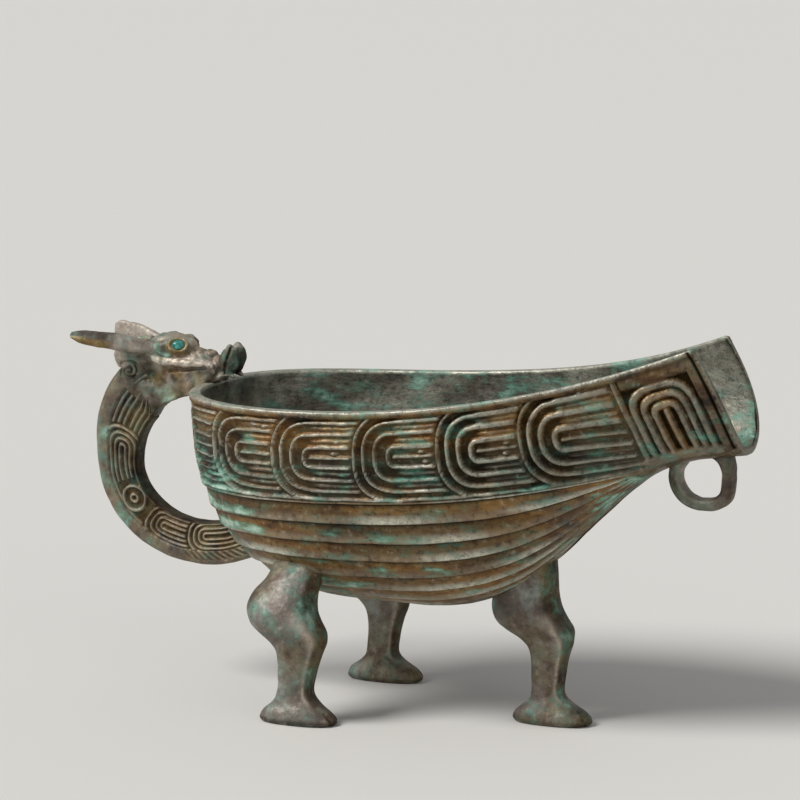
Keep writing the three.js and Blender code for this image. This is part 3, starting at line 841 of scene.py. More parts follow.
@dataclass(frozen=True)
class HookBand:
    """The band's ornament: nested hooks that open to the spout, and an upright panel at the lip.

    Distances along the band start at the rear. Heights run down from the band's middle.
    """

    starts: tuple[float, ...] = (34.4, 63.9, 92.6, 125.2, 156.1, 185.7)
    middle: float = -1.25
    lines: tuple[float, ...] = (3.6, 8.3, 12.4)
    bracket: float = 15.8
    bracket_reach: float = 17.2
    bracket_end: float = 1.0
    squareness: float = 2.6
    tongue: float = -1.2
    arm_from: float = -2.0
    arm_run: float = 5.0
    arm_tone_from: float = -1.0
    arm_tone_run: float = 6.0
    split: tuple[float, ...] = (5.9, 10.4)
    split_height: float = 0.82
    split_half: float = 0.2
    split_soft: float = 0.55
    half: float = 0.18
    spread: float = 0.34
    spread_from: float = 118.0
    spread_run: float = 40.0
    soft: float = 0.6
    slope: float = 1.1
    slope_run: float = 2.0
    depth: float = 1.35
    trench: float = 0.5
    trench_half: float = 0.7
    trench_soft: float = 0.9
    frame_at: float = 14.2
    frame_half: float = 0.25
    plain_half: float = 14.9
    bosses: Pairs = (
        (73.2, -10.2), (101.4, -1.8), (102.8, -5.8), (133.3, -10.3), (134.9, -1.8), (136.2, 1.8),
        (165.1, -1.9), (164.3, 1.6), (196.2, -13.6),
    )
    boss_long: float = 2.0
    boss_high: float = 0.9
    boss_soft: float = 0.7
    rear_lines: tuple[float, ...] = (4.2, 8.4, 12.4)
    rear_top: float = -1.5
    rear_tongue: float = -3.5
    panel_zone: float = 207.3
    panel_from: float = 209.5
    panel_edge: float = 209.7
    panel_middle: float = 223.2
    panel_lines: tuple[float, ...] = (4.2, 7.4, 10.6)
    panel_top: float = -2.2
    panel_tongue: float = -4.2
    panel_pinch: float = 0.99
    panel_squareness: float = 3.4
    panel_half: float = 0.73
    panel_rib: float = 0.6
    panel_to: float = 236.2
    border: float = 2.6
    border_from: float = 211.0
    foot: float = 13.0
    foot_half: float = 0.8
    foot_drop: float = 7.0
    foot_from: float = 227.0
    foot_run: float = 14.0

    def shelf(self, distance: Array, half: Array, eased: Array) -> Array:
        """Section of a raised line whose outer side eases off further than its inner side.

        Args:
            distance: Distance off the line, above 0 outside it.
            half: Half the line's width.
            eased: Run of its outer side.

        Returns:
            Line strength from 0 to 1.
        """
        outer = 1.0 - smooth((distance - half) / eased)
        inner = 1.0 - smooth((-distance - half) / self.soft)
        return np.where(distance > 0.0, outer, inner)

    def hooks(self, along: Array, w: Array) -> tuple[Array, Array]:
        """Raised lines and deep trenches of the hooks.

        Args:
            along: Distance along the band.
            w: Height from the hooks' middle line.

        Returns:
            Line strength and trench strength, from 0 to 1.
        """
        line, trench = np.zeros_like(along), np.zeros_like(along)
        half = self.half + self.spread * rise(along, self.spread_from, self.spread_run)
        trench_at = (self.bracket + self.lines[-1]) / 2
        for start in self.starts:
            u = along - start
            ring = hook_ring(u, w, self.squareness)
            mine = (u > 0.0) | (ring < self.bracket_reach)
            arm = rise(u, self.arm_from, self.arm_run)
            eased = self.soft + self.slope * arm * fall(w, 0.0, self.slope_run)
            lines = [self.shelf(ring - at, half, eased) for at in self.lines]
            split = nest(ring, self.split, self.split_half, self.split_soft)
            before = np.hypot(np.maximum(self.tongue - u, 0.0), w)
            edge = raised(ring - self.bracket, self.half, self.soft) * (u < self.bracket_end)
            lines += [self.split_height * arm * split, raised(before, self.half, self.soft), edge]
            line = np.where(mine, np.max(lines, axis=0), line)
            cut = raised(ring - trench_at, self.trench_half, self.trench_soft) * (u < 0.0)
            trench = np.where(mine, cut, trench)
        for at, off in self.bosses:
            away = np.hypot((along - at) / self.boss_long, (w - off) / self.boss_high)
            line = np.maximum(line, fall(away, 1.0, self.boss_soft))
        return line, trench

    def arms(self, along: Array, v: Array) -> Array:
        """Find where the hooks' arms run.

        Args:
            along: Distance along the band.
            v: Height from the band's middle, at the plain band's scale.

        Returns:
            0 at the closed ends, easing to 1 along the arms.
        """
        found = np.zeros_like(along)
        for start in self.starts:
            arm = rise(along, start + self.arm_tone_from, self.arm_tone_run)
            found = np.where(along > start - self.bracket, arm, found)
        return found * fall(np.abs(v), self.plain_half, 2.0) * (along < self.panel_from)

    def rear(self, along: Array, w: Array) -> Array:
        """Raised lines of the upright nest between the two sides' first hooks.

        Args:
            along: Distance along the band.
            w: Height from the hooks' middle line.

        Returns:
            Line strength from 0 to 1.
        """
        ring = hook_ring(np.minimum(w - self.rear_top, 0.0), along, self.squareness)
        tongue = np.hypot(along, np.maximum(self.rear_tongue - w, 0.0))
        lines = nest(ring, self.rear_lines, self.half, self.soft)
        return np.maximum(lines, raised(tongue, self.half, self.soft))

    def panel(self, along: Array, v: Array) -> Array:
        """Raised lines of the upright panel by the lip.

        Args:
            along: Distance along the band.
            v: Height from the band's middle, downwards.

        Returns:
            Line strength from 0 to 1.
        """
        u = (along - self.panel_middle) * self.panel_pinch
        ring = hook_ring(np.minimum(v - self.panel_top, 0.0), u, self.panel_squareness)
        line = nest(ring, self.panel_lines, self.panel_half, self.soft)
        tongue = np.hypot(u, np.maximum(self.panel_tongue - v, 0.0))
        for rib in (tongue, along - self.panel_edge):
            line = np.maximum(line, raised(rib, self.panel_rib, self.soft))
        dip = np.maximum((along - self.foot_from) / self.foot_run, 0.0) ** 2
        foot = self.foot + self.foot_drop * dip
        base = np.maximum(raised(v - foot, self.foot_half, self.soft), v > foot)
        return np.where(v > foot - 1.0, base, line)

    def relief(self, along: Array, v: Array, half_height: Array) -> tuple[Array, Array]:
        """Height of the ornament.

        Args:
            along: Distance along the band.
            v: Height from the band's middle, downwards.
            half_height: Half the band's height there.

        Returns:
            Lift off the skin in millimetres, and line strength from 0 to 1.
        """
        w = v * (self.plain_half / half_height) - self.middle
        line, trench = self.hooks(along, w)
        first = along - self.starts[0]
        own = (first < 0.0) & (hook_ring(first, w, self.squareness) > self.bracket_reach)
        line = np.where(own, self.rear(along, w), line)
        in_panel = along > self.panel_zone
        line = np.where(in_panel, self.panel(along, v), line)
        trench = np.where(in_panel | own, 0.0, trench)
        frame = raised(w + self.middle - self.frame_at, self.frame_half, self.soft) * ~in_panel
        border = fall(v + half_height, self.border + self.soft, self.soft)
        border = border * rise(along, self.border_from, 1.0)
        line = np.maximum(line, np.maximum(frame, border))
        line = np.where(along > self.panel_to, 1.0, line)
        return -self.depth * (1.0 - line) - self.trench * trench, line


@dataclass(frozen=True)
class Sheet:
    """One part of the bowl's skin as rows by columns, with lengths along its ribs and lifts."""

    points: Array
    tones: Tones
    at: Array | None = None
    lift: Array | None = None


@dataclass
class Bowl:
    """The bowl with its spout: rim, ornament band, fluted belly and plain inside, cast in one."""

    form: BowlForm = field(default_factory=BowlForm)
    band: HookBand = field(default_factory=HookBand)
    columns: int = 401
    lip_edge: float = 0.6
    strip_rows: tuple[float, ...] = (0.6, 1.1, 1.7, 2.2, 2.5, 2.75, 3.0)
    strip_proud: float = 0.5
    strip_end: float = 2.75
    strip_soft: float = 0.45
    band_rows: int = 58
    blur: tuple[float, ...] = (-0.17, 0.17)
    groove_from: float = 2.2
    groove_to: float = 0.8
    groove_soft: float = 0.5
    groove_depth: float = 0.45
    sway_lumps: Pairs = ((11.0, 0.45),)
    drift_lumps: Pairs = ((14.0, 0.38), (4.0, 0.16))
    bead_size: float = 2.3
    bead_height: float = 0.3
    bead_span: Span = (0.62, 0.2)
    grain_lumps: Pairs = ((3.2, 0.12),)
    flutes: int = 7
    flutes_below: float = 0.45
    flute_width: float = 7.9
    flute_run: float = 0.39
    flute_depth: float = 1.5
    flute_steepness: float = 0.2
    flute_hollow: float = 0.85
    wander_lumps: Pairs = ((26.0, 0.55),)
    flute_lay: float = 8.0
    flute_rows: tuple[float, ...] = (0.0, 0.05, 0.11, 0.18, 0.34, 0.56, 0.78, 0.93)
    base_rows: int = 8
    keel_plain: float = 3.0
    hollow_lumps: Pairs = ((16.0, 0.15),)
    belly_lumps: Pairs = ((9.0, 0.16), (3.5, 0.1))
    inner_rows: int = 40
    inner_from: float = 1.4
    inner_crowding: float = 1.15
    inner_lumps: Pairs = ((10.0, 0.22), (4.5, 0.12))
    edge_rows: Pairs = (
        (0.04, -0.18), (0.18, 0.0), (0.5, 0.06), (0.82, 0.0), (0.96, -0.2), (1.0, -0.8),
    )
    seam: float = 0.012

    def stations(self, count: int) -> tuple[Array, Array, Array]:
        """Even places along the band from the near lip round the rear to the far lip.

        Args:
            count: How many places on each side.

        Returns:
            Turns, distances from the rear and signs of Y.
        """
        turn, arc = self.form.band_arc()
        reach = arc[-1] - self.lip_edge
        signed = np.linspace(-reach, reach, 2 * count - 1)
        along = np.abs(signed)
        return np.interp(along, arc, turn), along, np.where(signed < 0, -1.0, 1.0)

    def upper(self) -> Sheet:
        """Rim strip and ornament band, from the rim down.

        Returns:
            The sheet, with its lengths along the ribs and its lifts.
        """
        form, band = self.form, self.band
        turn, along, side = self.stations(self.columns)
        ribs = form.ribs(turn)
        end = form.band_end(ribs, turn)
        strip = np.array(self.strip_rows)[:, None]
        share = np.linspace(0.0, 1.0, self.band_rows + 1)[1:, None]
        at = np.concatenate([strip + 0.0 * end, strip[-1] + (end - strip[-1]) * share])
        half_height = (end - form.rim_strip) / 2
        v = at - (form.rim_strip + end) / 2
        spots = np.stack(np.broadcast_arrays(along * side, v, 0.0), 2)

        # Relief, averaged over four places round each point so that thin lines stay even
        a = along + layered(spots, self.sway_lumps, 3)
        drift = v + layered(spots, self.drift_lumps, 5)
        takes = [band.relief(a + da, drift + dv, half_height) for da in self.blur for dv in self.blur]
        lift, line = np.mean(takes, axis=0)
        on_strip = fall(at, self.strip_end, self.strip_soft)
        lip = along.max()
        groove = rise(along, lip - self.groove_from, self.groove_soft)
        groove = groove * fall(along, lip - self.groove_to, self.groove_soft)
        border = (v < band.border - half_height) & (along > band.border_from)
        plain = (along > band.panel_to) | border
        quiet = np.where(plain, 0.4, 1.0)
        line = np.maximum(line, on_strip)
        lift = lift * (1.0 - on_strip) + self.strip_proud * on_strip - self.groove_depth * groove
        beads = rise(lumps(spots, self.bead_size, 8), *self.bead_span) * line * (1.0 - on_strip) * ~plain
        lift = lift + self.bead_height * beads + layered(spots, self.grain_lumps, 9) * quiet
        points = form.place(ribs, at, lift, side)

        # Where the lines are rubbed, the hollows hold dirt and the patina lies. The rubbed crests also
        # carry painted highlight, brightest toward the rear, the hollows are painted darker toward the
        # spout as painted shade, and the groove by the lip is painted dark as painted shadow.
        uneven = lumps(spots, 7.0, 11)
        by_panel = along > band.panel_from
        crest = rise(line, 0.74, 0.24) * ~plain * (1.0 - on_strip)
        slope = rise(line, 0.08, 0.3) * (1.0 - crest)
        sunk = fall(line, 0.46, 0.4)
        brim = on_strip * fall(at, 1.4, 0.5)
        under = on_strip * (1.0 - brim)
        high = fall(v, 1.0, 9.0) * (1.0 - 0.45 * rise(along, 150.0, 60.0))
        # Painted light: crest highlights brighter toward the rear, and hollows darker toward the spout
        painted_light_fade = 1.0 - 0.5 * rise(along, 90.0, 90.0) - 0.2 * by_panel
        soil = 0.5 + 0.36 * rise(along, 80.0, 80.0) + 0.1 * by_panel
        heart = 0.8 * bell(along, band.panel_middle, 4.6)
        arms = band.arms(a, drift * (band.plain_half / half_height))
        teal = rise(lumps(spots * np.array([0.4, 1.0, 1.0]), 6.0, 12), 0.1, 0.4)
        rusty = high * (0.4 + 0.6 * slope + 0.5 * sunk) + heart
        low = rise(v, 0.0, 8.0) * (0.2 + 0.3 * teal)
        dirt = sunk * (1.0 - 0.5 * arms) * soil * ~plain
        tones = {
            Tone.WEAR_AND_HIGHLIGHT: np.maximum(0.95 * crest * painted_light_fade, 0.5 * brim) * (0.75 + 0.45 * uneven),
            Tone.DIRT_AND_SHADE: dirt + 0.7 * groove + 0.4 * plain + 0.3 * under,
            Tone.OCHRE: quiet * np.maximum(rusty, 0.8 * under) + 0.3 * plain,
            Tone.GREEN: quiet * (0.2 + low + 0.14 * uneven) + 0.1 * plain,
            Tone.GREY: 0.5 * plain + 0.35 * on_strip,
        }
        return Sheet(points, tones, at, lift)

    def belly(self) -> Sheet:
        """Fluted belly and plain base, with the flutes running out along the keel to the spout.

        Returns:
            The sheet, with its lengths along the ribs and its lifts.
        """
        turn, along, side = self.stations((self.columns + 1) // 2)
        ribs = self.form.ribs(turn)
        end = self.form.band_end(ribs, turn) + self.flutes_below
        run_out = (np.maximum(turn - 0.5, 0.0) / self.flute_run) ** 4
        width = self.flute_width * np.maximum(1.0 - run_out, 0.0)
        share = np.concatenate([k + np.array(self.flute_rows) for k in range(self.flutes)])
        share = np.append(share, self.flutes)[:, None]
        laid = np.stack(np.broadcast_arrays(along * side, self.flute_lay * share, 0.0), 2)
        wander = layered(laid, self.wander_lumps, 26) * rise(share, 0.0, 0.8) * (width > 2.0)
        fluted = end + width * share + wander
        rest = np.linspace(0.0, 1.0, self.base_rows + 1)[1:, None]
        base = fluted[-1] + (ribs.total - fluted[-1]) * rest
        at = np.minimum(np.concatenate([fluted, base]), ribs.total)
        part = np.concatenate([share % 1.0, np.zeros((self.base_rows, 1))])
        ledge = (np.arange(len(at)) < len(share) - 1)[:, None]
        deep = np.minimum(self.flute_depth, self.flute_steepness * width)
        hollow = rise(part, 0.0, 0.2) * (1.0 - part) ** self.flute_hollow
        even = self.form.place(ribs, at, np.zeros(at.shape), side)
        lift = -deep * hollow * (1.0 + layered(even, self.hollow_lumps, 23))
        lift = lift + layered(even, self.belly_lumps, 21)
        lift = lift * fall(at, ribs.total, self.keel_plain)
        points = self.form.place(ribs, at, lift, side)

        # Patina in streaks along the flutes. The upturned lower half of each flute up to its crest is
        # painted pale as painted highlight on top of its rubbed wear, and a band just under each crest is
        # painted dark as painted shade.
        clear = ledge * rise(width, 0.0, 3.0)
        streak = points * np.array([0.3, 0.3, 1.0])
        bright = rise(lumps(streak, 9.0, 25), 0.05, 0.3)
        rusty = rise(lumps(streak, 11.0, 27), -0.35, 0.6)
        bare = rise(lumps(streak, 7.0, 28), -0.3, 0.7)
        crest = clear * np.maximum(rise(part, 0.5, 0.45), fall(part, 0.03, 0.03))
        under = clear * rise(part, 0.02, 0.03) * fall(part, 0.32, 0.2)
        middle = clear * rise(part, 0.1, 0.15) * fall(part, 0.85, 0.4)
        low = clear * rise(part, 0.3, 0.3)
        rearward = fall(points[..., 0], 10.0, 80.0)
        salts = low * (0.1 + bright * (0.35 + 0.25 * rearward))
        tones = {
            Tone.WEAR_AND_HIGHLIGHT: 0.95 * crest * (0.2 + 0.8 * bare) * (0.85 + 0.3 * rearward),
            Tone.DIRT_AND_SHADE: np.maximum(0.8 * under, 0.35 * (1.0 - rusty) * middle),
            Tone.OCHRE: 0.3 + (0.25 + 0.65 * rusty) * middle + 0.4 * crest * (1.0 - bare),
            Tone.GREEN: 0.12 + salts + 0.12 * rearward * clear,
            Tone.GREY: 0.1 + 0.2 * lumps(streak, 5.0, 24),
        }
        return Sheet(points, tones, at, lift)

    def inside(self) -> Sheet:
        """Plain inside of the bowl and the spout.

        Returns:
            The sheet.
        """
        turn, _, side = self.stations((self.columns + 3) // 4)
        ribs = self.form.inner_ribs(turn)
        share = np.linspace(0.0, 1.0, self.inner_rows)[:, None] ** self.inner_crowding
        at = self.inner_from + (ribs.total - self.inner_from) * share
        even = self.form.place(ribs, at, np.zeros_like(at), side)
        lift = layered(even, self.inner_lumps, 31)
        points = self.form.place(ribs, at, lift, side)
        # The spout's inner wall is painted paler as painted light on top of its rub, and its lower part
        # is painted darker as painted shade; the bowl's inside is darker, with lighter rubbed patches
        spout = rise(points[..., 0], 62.0, 45.0)
        bowl = 1.0 - spout
        spout_floor_shade = spout * fall(points[..., 2], 124.0, 12.0)
        patch = 0.6 * lumps(points, 6.0, 33) + 0.6 * lumps(points, 17.0, 36)
        cloud = 0.6 * lumps(points, 9.0, 34) + 0.6 * lumps(points, 23.0, 37)
        rubbed = 0.26 * rise(patch, -0.2, 0.8) * bowl
        tones = {
            Tone.WEAR_AND_HIGHLIGHT: 0.18 + rubbed + (0.3 * spout - 0.2 * spout_floor_shade) * (0.8 + 0.5 * patch),
            Tone.DIRT_AND_SHADE: (0.45 - 0.25 * rise(patch, -0.3, 0.8)) * bowl,
            Tone.OCHRE: 0.15 + 0.5 * spout * rise(cloud, 0.05, 0.3),
            Tone.GREEN: 0.46 - 0.16 * spout + 0.3 * cloud + 0.2 * spout_floor_shade,
            Tone.GREY: 0.5 - 0.3 * spout,
        }
        return Sheet(points, tones)

    def edge(self, upper: Sheet, belly: Sheet) -> Sheet:
        """Rounded edge that carries the outer skin over the rim and the lip to the inside.

        Args:
            upper: The band's sheet.
            belly: The belly's sheet.

        Returns:
            Rows along the near lip, the rim and the far lip.
        """
        form = self.form
        turn, _, side = self.stations(self.columns)
        flat = np.zeros((1, len(turn)))
        rim_out = form.place(form.ribs(turn), flat, flat + self.strip_proud, side)[0]
        rim_in = form.place(form.inner_ribs(turn), flat, flat, side)[0]
        down = np.concatenate([upper.at[:, -1:], belly.at[:, -1:]])
        proud = np.concatenate([upper.lift[:, -1:], belly.lift[:, -1:]])
        share = np.minimum(down / belly.at[-1, -1], 1.0)
        tip = np.ones(1)
        lip_out, lip_in, behind = (
            form.place(ribs, share * ribs.total[0], lift, tip)[:, 0]
            for ribs, lift in (
                (form.ribs(tip), proud),
                (form.inner_ribs(tip), 0.0 * proud),
                (form.ribs(tip - 0.02), proud),
            )
        )
        ahead = unit(lip_out - behind)
        ahead[0] = unit(ahead[0] + UP)
        upward = np.tile(UP, (len(turn) - 2, 1))
        outer, inward, bulge = (
            np.concatenate([lip[::-1] * Side.NEAR.mirror, rim, lip])
            for lip, rim in ((lip_out, rim_out[1:-1]), (lip_in, rim_in[1:-1]), (ahead, upward))
        )
        band, flutes = upper.points, belly.points
        base = [flutes[::-1, 0], band[:0:-1, 0], band[0], band[1:, -1], flutes[:, -1]]
        rows = [outer + across * (inward - outer) + up * bulge for across, up in self.edge_rows]
        points = np.array([np.concatenate(base), *rows])
        at_lip = np.concatenate([np.ones(len(lip_out)), np.zeros(len(upward)), np.ones(len(lip_out))])
        patch = lumps(points, 5.0, 35)
        tones = {
            Tone.WEAR_AND_HIGHLIGHT: (0.8 - 0.55 * at_lip) * (0.8 + 0.25 * patch),
            Tone.DIRT_AND_SHADE: 0.25 * at_lip,
            Tone.OCHRE: 0.12 + 0.2 * at_lip,
            Tone.GREEN: 0.3 + 0.2 * patch - 0.1 * at_lip,
            Tone.GREY: 0.3 + 0.4 * at_lip,
        }
        return Sheet(points, tones)

    def build(self, finish: Material) -> None:
        """Make the bowl's mesh and dress it.

        Args:
            finish: The bronze.
        """
        upper, belly = self.upper(), self.belly()
        pieces, number, start = [], [], 0
        for sheet in (upper, belly, self.inside(), self.edge(upper, belly)):
            grid = sheet.points.shape[:2]
            piece = add_sheet(sheet.points)
            set_tones(piece, spread(sheet.tones, grid))
            pieces.append(piece)
            number.append(start + np.arange(grid[0] * grid[1]).reshape(grid))
            start += grid[0] * grid[1]
        piece = join(pieces)
        band, flutes, inner, edge = number
        lip = len(band) + len(flutes)
        rim = slice(lip - 1, lip - 1 + band.shape[1])
        bridge(piece, band[-1], flutes[0])
        bridge(piece, edge[-1, :lip], inner[::-1, 0])
        bridge(piece, edge[-1, rim], inner[0])
        bridge(piece, edge[-1, -lip:], inner[:, -1])
        close_up(piece, self.seam)
        settle(piece, "bowl", finish)


@dataclass
class HandleRing:
    """The dragon's body: a deep strap bent into an oval ring, with nested hooks on both cheeks."""

    centre_x: float = -83.6
    centre_z: float = 83.0
    half_long: float = 34.6
    half_low: float = 28.6
    half_high: float = 33.0
    depth: float = 15.8
    width: float = 9.6
    corner: float = 2.4
    corner_steps: int = 9
    neck: Pairs = (
        (120.0, 7.0), (140.0, 6.0), (150.0, 4.6), (158.0, 3.6), (166.0, 2.3), (176.0, 0.8),
        (188.0, 0.0), (320.0, 0.0),
    )
    throat: float = 0.4
    throat_from: float = 124.0
    throat_run: float = 16.0
    from_angle: float = 122.0
    to_angle: float = 314.0
    rings: int = 330
    around: int = 128
    squareness: float = 2.5
    nest_middle: float = -2.7
    nest_lines: tuple[float, ...] = (1.15, 2.85, 4.6)
    nest_bracket: float = 6.4
    nest_reach: float = 7.5
    nest_end: float = 0.5
    nest_pinch: float = 0.82
    line_half: float = 0.16
    line_soft: float = 0.44
    blur: tuple[float, ...] = (-0.1, 0.1)
    hook_angles: tuple[float, ...] = (112.0, 171.0, 243.0, 275.0)
    boss_angle: float = 212.0
    boss_from: float = 196.0
    boss_to: float = 228.0
    boss_rings: tuple[float, ...] = (1.3, 4.2)
    boss_half: float = 0.3
    boss_long: float = 1.25
    boss_reach: float = 5.0
    border: float = 2.7
    rib_at: float = 5.6
    rib_half: float = 2.4
    rib_soft: float = 0.7
    carve: float = 0.8
    mane_from: float = 254.0
    mane_run: float = 14.0
    mane_at: float = 4.6
    mane_half: float = 1.2
    mane_pitch: float = 2.5
    mane_slant: float = 1.1
    mane_depth: float = 0.6
    mane_soft: float = 1.0
    stroke: Span = (0.14, 0.28)
    cheek_edge: float = 1.3
    cheek_soft: float = 0.9
    cheeks_apart: float = 9.0
    sway_lumps: Pairs = ((6.0, 0.25),)
    wander_lumps: Pairs = ((7.0, 0.2),)
    skin_lumps: Pairs = ((7.0, 0.22), (3.0, 0.1))

    def spot(self, degrees: Array) -> tuple[Array, Array]:
        """Centre line of the ring and its outward direction.

        Args:
            degrees: Angles round the ring, up from the spout's side.

        Returns:
            Points and directions, one row per angle.
        """
        a = np.radians(degrees)
        c, s, none = np.cos(a), np.sin(a), np.zeros_like(a)
        tall = np.where(s > 0.0, self.half_high, self.half_low)
        centre = np.stack([self.centre_x + self.half_long * c, none, self.centre_z + tall * s], 1)
        return centre, unit(np.stack([c / self.half_long, none, s / tall], 1))

    def section(self) -> tuple[Array, Array]:
        """Rounded outline of the strap.

        Returns:
            Offsets along the depth and the width, in even steps.
        """
        r, w, c = self.depth / 2, self.width / 2, self.corner
        arc = np.linspace(0.0, math.pi / 2, self.corner_steps)
        outline = []
        for out, wide, start in ((1, 1, 0.0), (-1, 1, 0.5), (-1, -1, 1.0), (1, -1, 1.5)):
            turn = arc + start * math.pi
            outline.append([out * (r - c) + c * np.cos(turn), wide * (w - c) + c * np.sin(turn)])
        outline = np.append(np.concatenate(outline, 1), [[r], [w - c]], axis=1)
        pace = travel(outline.T)
        even = np.linspace(0.0, pace[-1], self.around + 1)[:-1]
        return np.interp(even, pace, outline[0]), np.interp(even, pace, outline[1])

    def ornament(self, along: Array, off: Array, degrees: Array, track: Array) -> Array:
        """Line strength of the ornament on the strap's cheeks.

        Args:
            along: Distance along the ring's centre line.
            off: Offset out from the centre line.
            degrees: Angle round the ring, one per row.
            track: Distance along the centre line, one per row.

        Returns:
            1 on raised lines, 0 in the ground.
        """
        w = off - self.nest_middle
        half, soft = self.line_half, self.line_soft
        line = np.zeros_like(along)
        for start in self.hook_angles:
            u = (along - np.interp(start, degrees, track)) * self.nest_pinch
            ring = hook_ring(u, w, self.squareness)
            mine = (u > 0.0) | (ring < self.nest_reach)
            edge = raised(ring - self.nest_bracket, half, soft) * (u < self.nest_end)
            line = np.where(mine, np.maximum(nest(ring, self.nest_lines, half, soft), edge), line)
        away = np.hypot((along - np.interp(self.boss_angle, degrees, track)) / self.boss_long, w)
        boss = nest(away, self.boss_rings, self.boss_half, soft)
        stripe = raised(np.abs(w) - self.nest_lines[-1], half, soft)
        here = ((degrees > self.boss_from) & (degrees < self.boss_to))[:, None]
        line = np.where(here, np.where(away < self.boss_reach, boss, stripe), line)
        return np.where(off > self.border, raised(off - self.rib_at, self.rib_half, self.rib_soft), line)

    def build(self, skin: BVHTree, finish: Material) -> None:
        """Make the handle and dress it.

        Args:
            skin: The bowl's outer skin.
            finish: The bronze.
        """
        degrees = np.linspace(self.from_angle, self.to_angle, self.rings)
        centre, out = self.spot(degrees)
        track = travel(centre)
        off, wide = self.section()
        along, angle, cheek_side = track[:, None], degrees[:, None], np.sign(wide)
        spots = np.stack(np.broadcast_arrays(along, off, cheek_side * self.cheeks_apart), 2)

        # Ornament, averaged over four places round each point as on the bowl
        sway, wander = layered(spots, self.sway_lumps, 41), layered(spots, self.wander_lumps, 42)
        takes = [
            self.ornament(along + sway + da, off + wander + do, degrees, track)
            for da in self.blur
            for do in self.blur
        ]
        line = np.mean(takes, axis=0)
        cheek = rise(np.abs(wide), self.width / 2 - self.cheek_edge, self.cheek_soft)
        mane = raised(off - self.mane_at, self.mane_half, self.mane_soft)
        mane = rise(angle, self.mane_from, self.mane_run) * mane
        hair = (along - self.mane_slant * off) / self.mane_pitch % 1.0 - 0.5
        strokes = mane * raised(hair, *self.stroke)

        # Cheeks cut to the ornament, on a strap deep at the neck and thin at the throat
        sink = (self.carve * (1.0 - line) + self.mane_depth * strokes) * cheek
        throat = self.throat + (1.0 - self.throat) * rise(angle, self.throat_from, self.throat_run)
        deeper = 1.0 + spline(self.neck, angle) / self.depth
        reach = np.where(off < 0.0, off * throat, off)
        reach = (reach + self.depth / 2) * deeper - self.depth / 2
        rings = sweep(centre, out, ACROSS, reach, wide - cheek_side * sink * cheek)
        piece = add_loft(rings, centre[0], centre[-1])
        order = nearest(rings.reshape(-1, 3), points_of(piece))

        # Rubbed lines with dirt between them, and a greener outer edge
        inner = cheek * (off < self.border)
        outside = rise(off, self.border, 0.8)
        facing_in = rise(-off, 6.6, 1.0)
        patch = lumps(rings, 11.0, 46)
        crest = rise(line, 0.7, 0.25) * inner
        tones = {
            Tone.WEAR_AND_HIGHLIGHT: crest * (0.34 + 0.25 * patch) + 0.14 * outside,
            Tone.DIRT_AND_SHADE: 0.72 * fall(line, 0.5, 0.4) * inner + 0.7 * facing_in + 0.75 * strokes,
            Tone.OCHRE: 0.4 + 0.3 * inner * (1.0 - line) + 0.3 * strokes,
            Tone.GREEN: 0.12 + 0.3 * outside * rise(patch, -0.5, 0.8),
            Tone.GREY: 0.45,
        }
        laid = spread(tones, rings.shape[:2])
        set_tones(piece, {tone: values[order] for tone, values in laid.items()})
        roughen(piece, self.skin_lumps, 44)
        seat(piece, skin)
        settle(piece, "handle_ring", finish)


def eye_turn(side: Side) -> Euler:
    """Turn that faces a ring or a bead outwards, up and a little ahead from the head's side."""
    return Vector((0.28, 0.85 * side.value, 0.44)).to_track_quat("Z", "Y").to_euler()


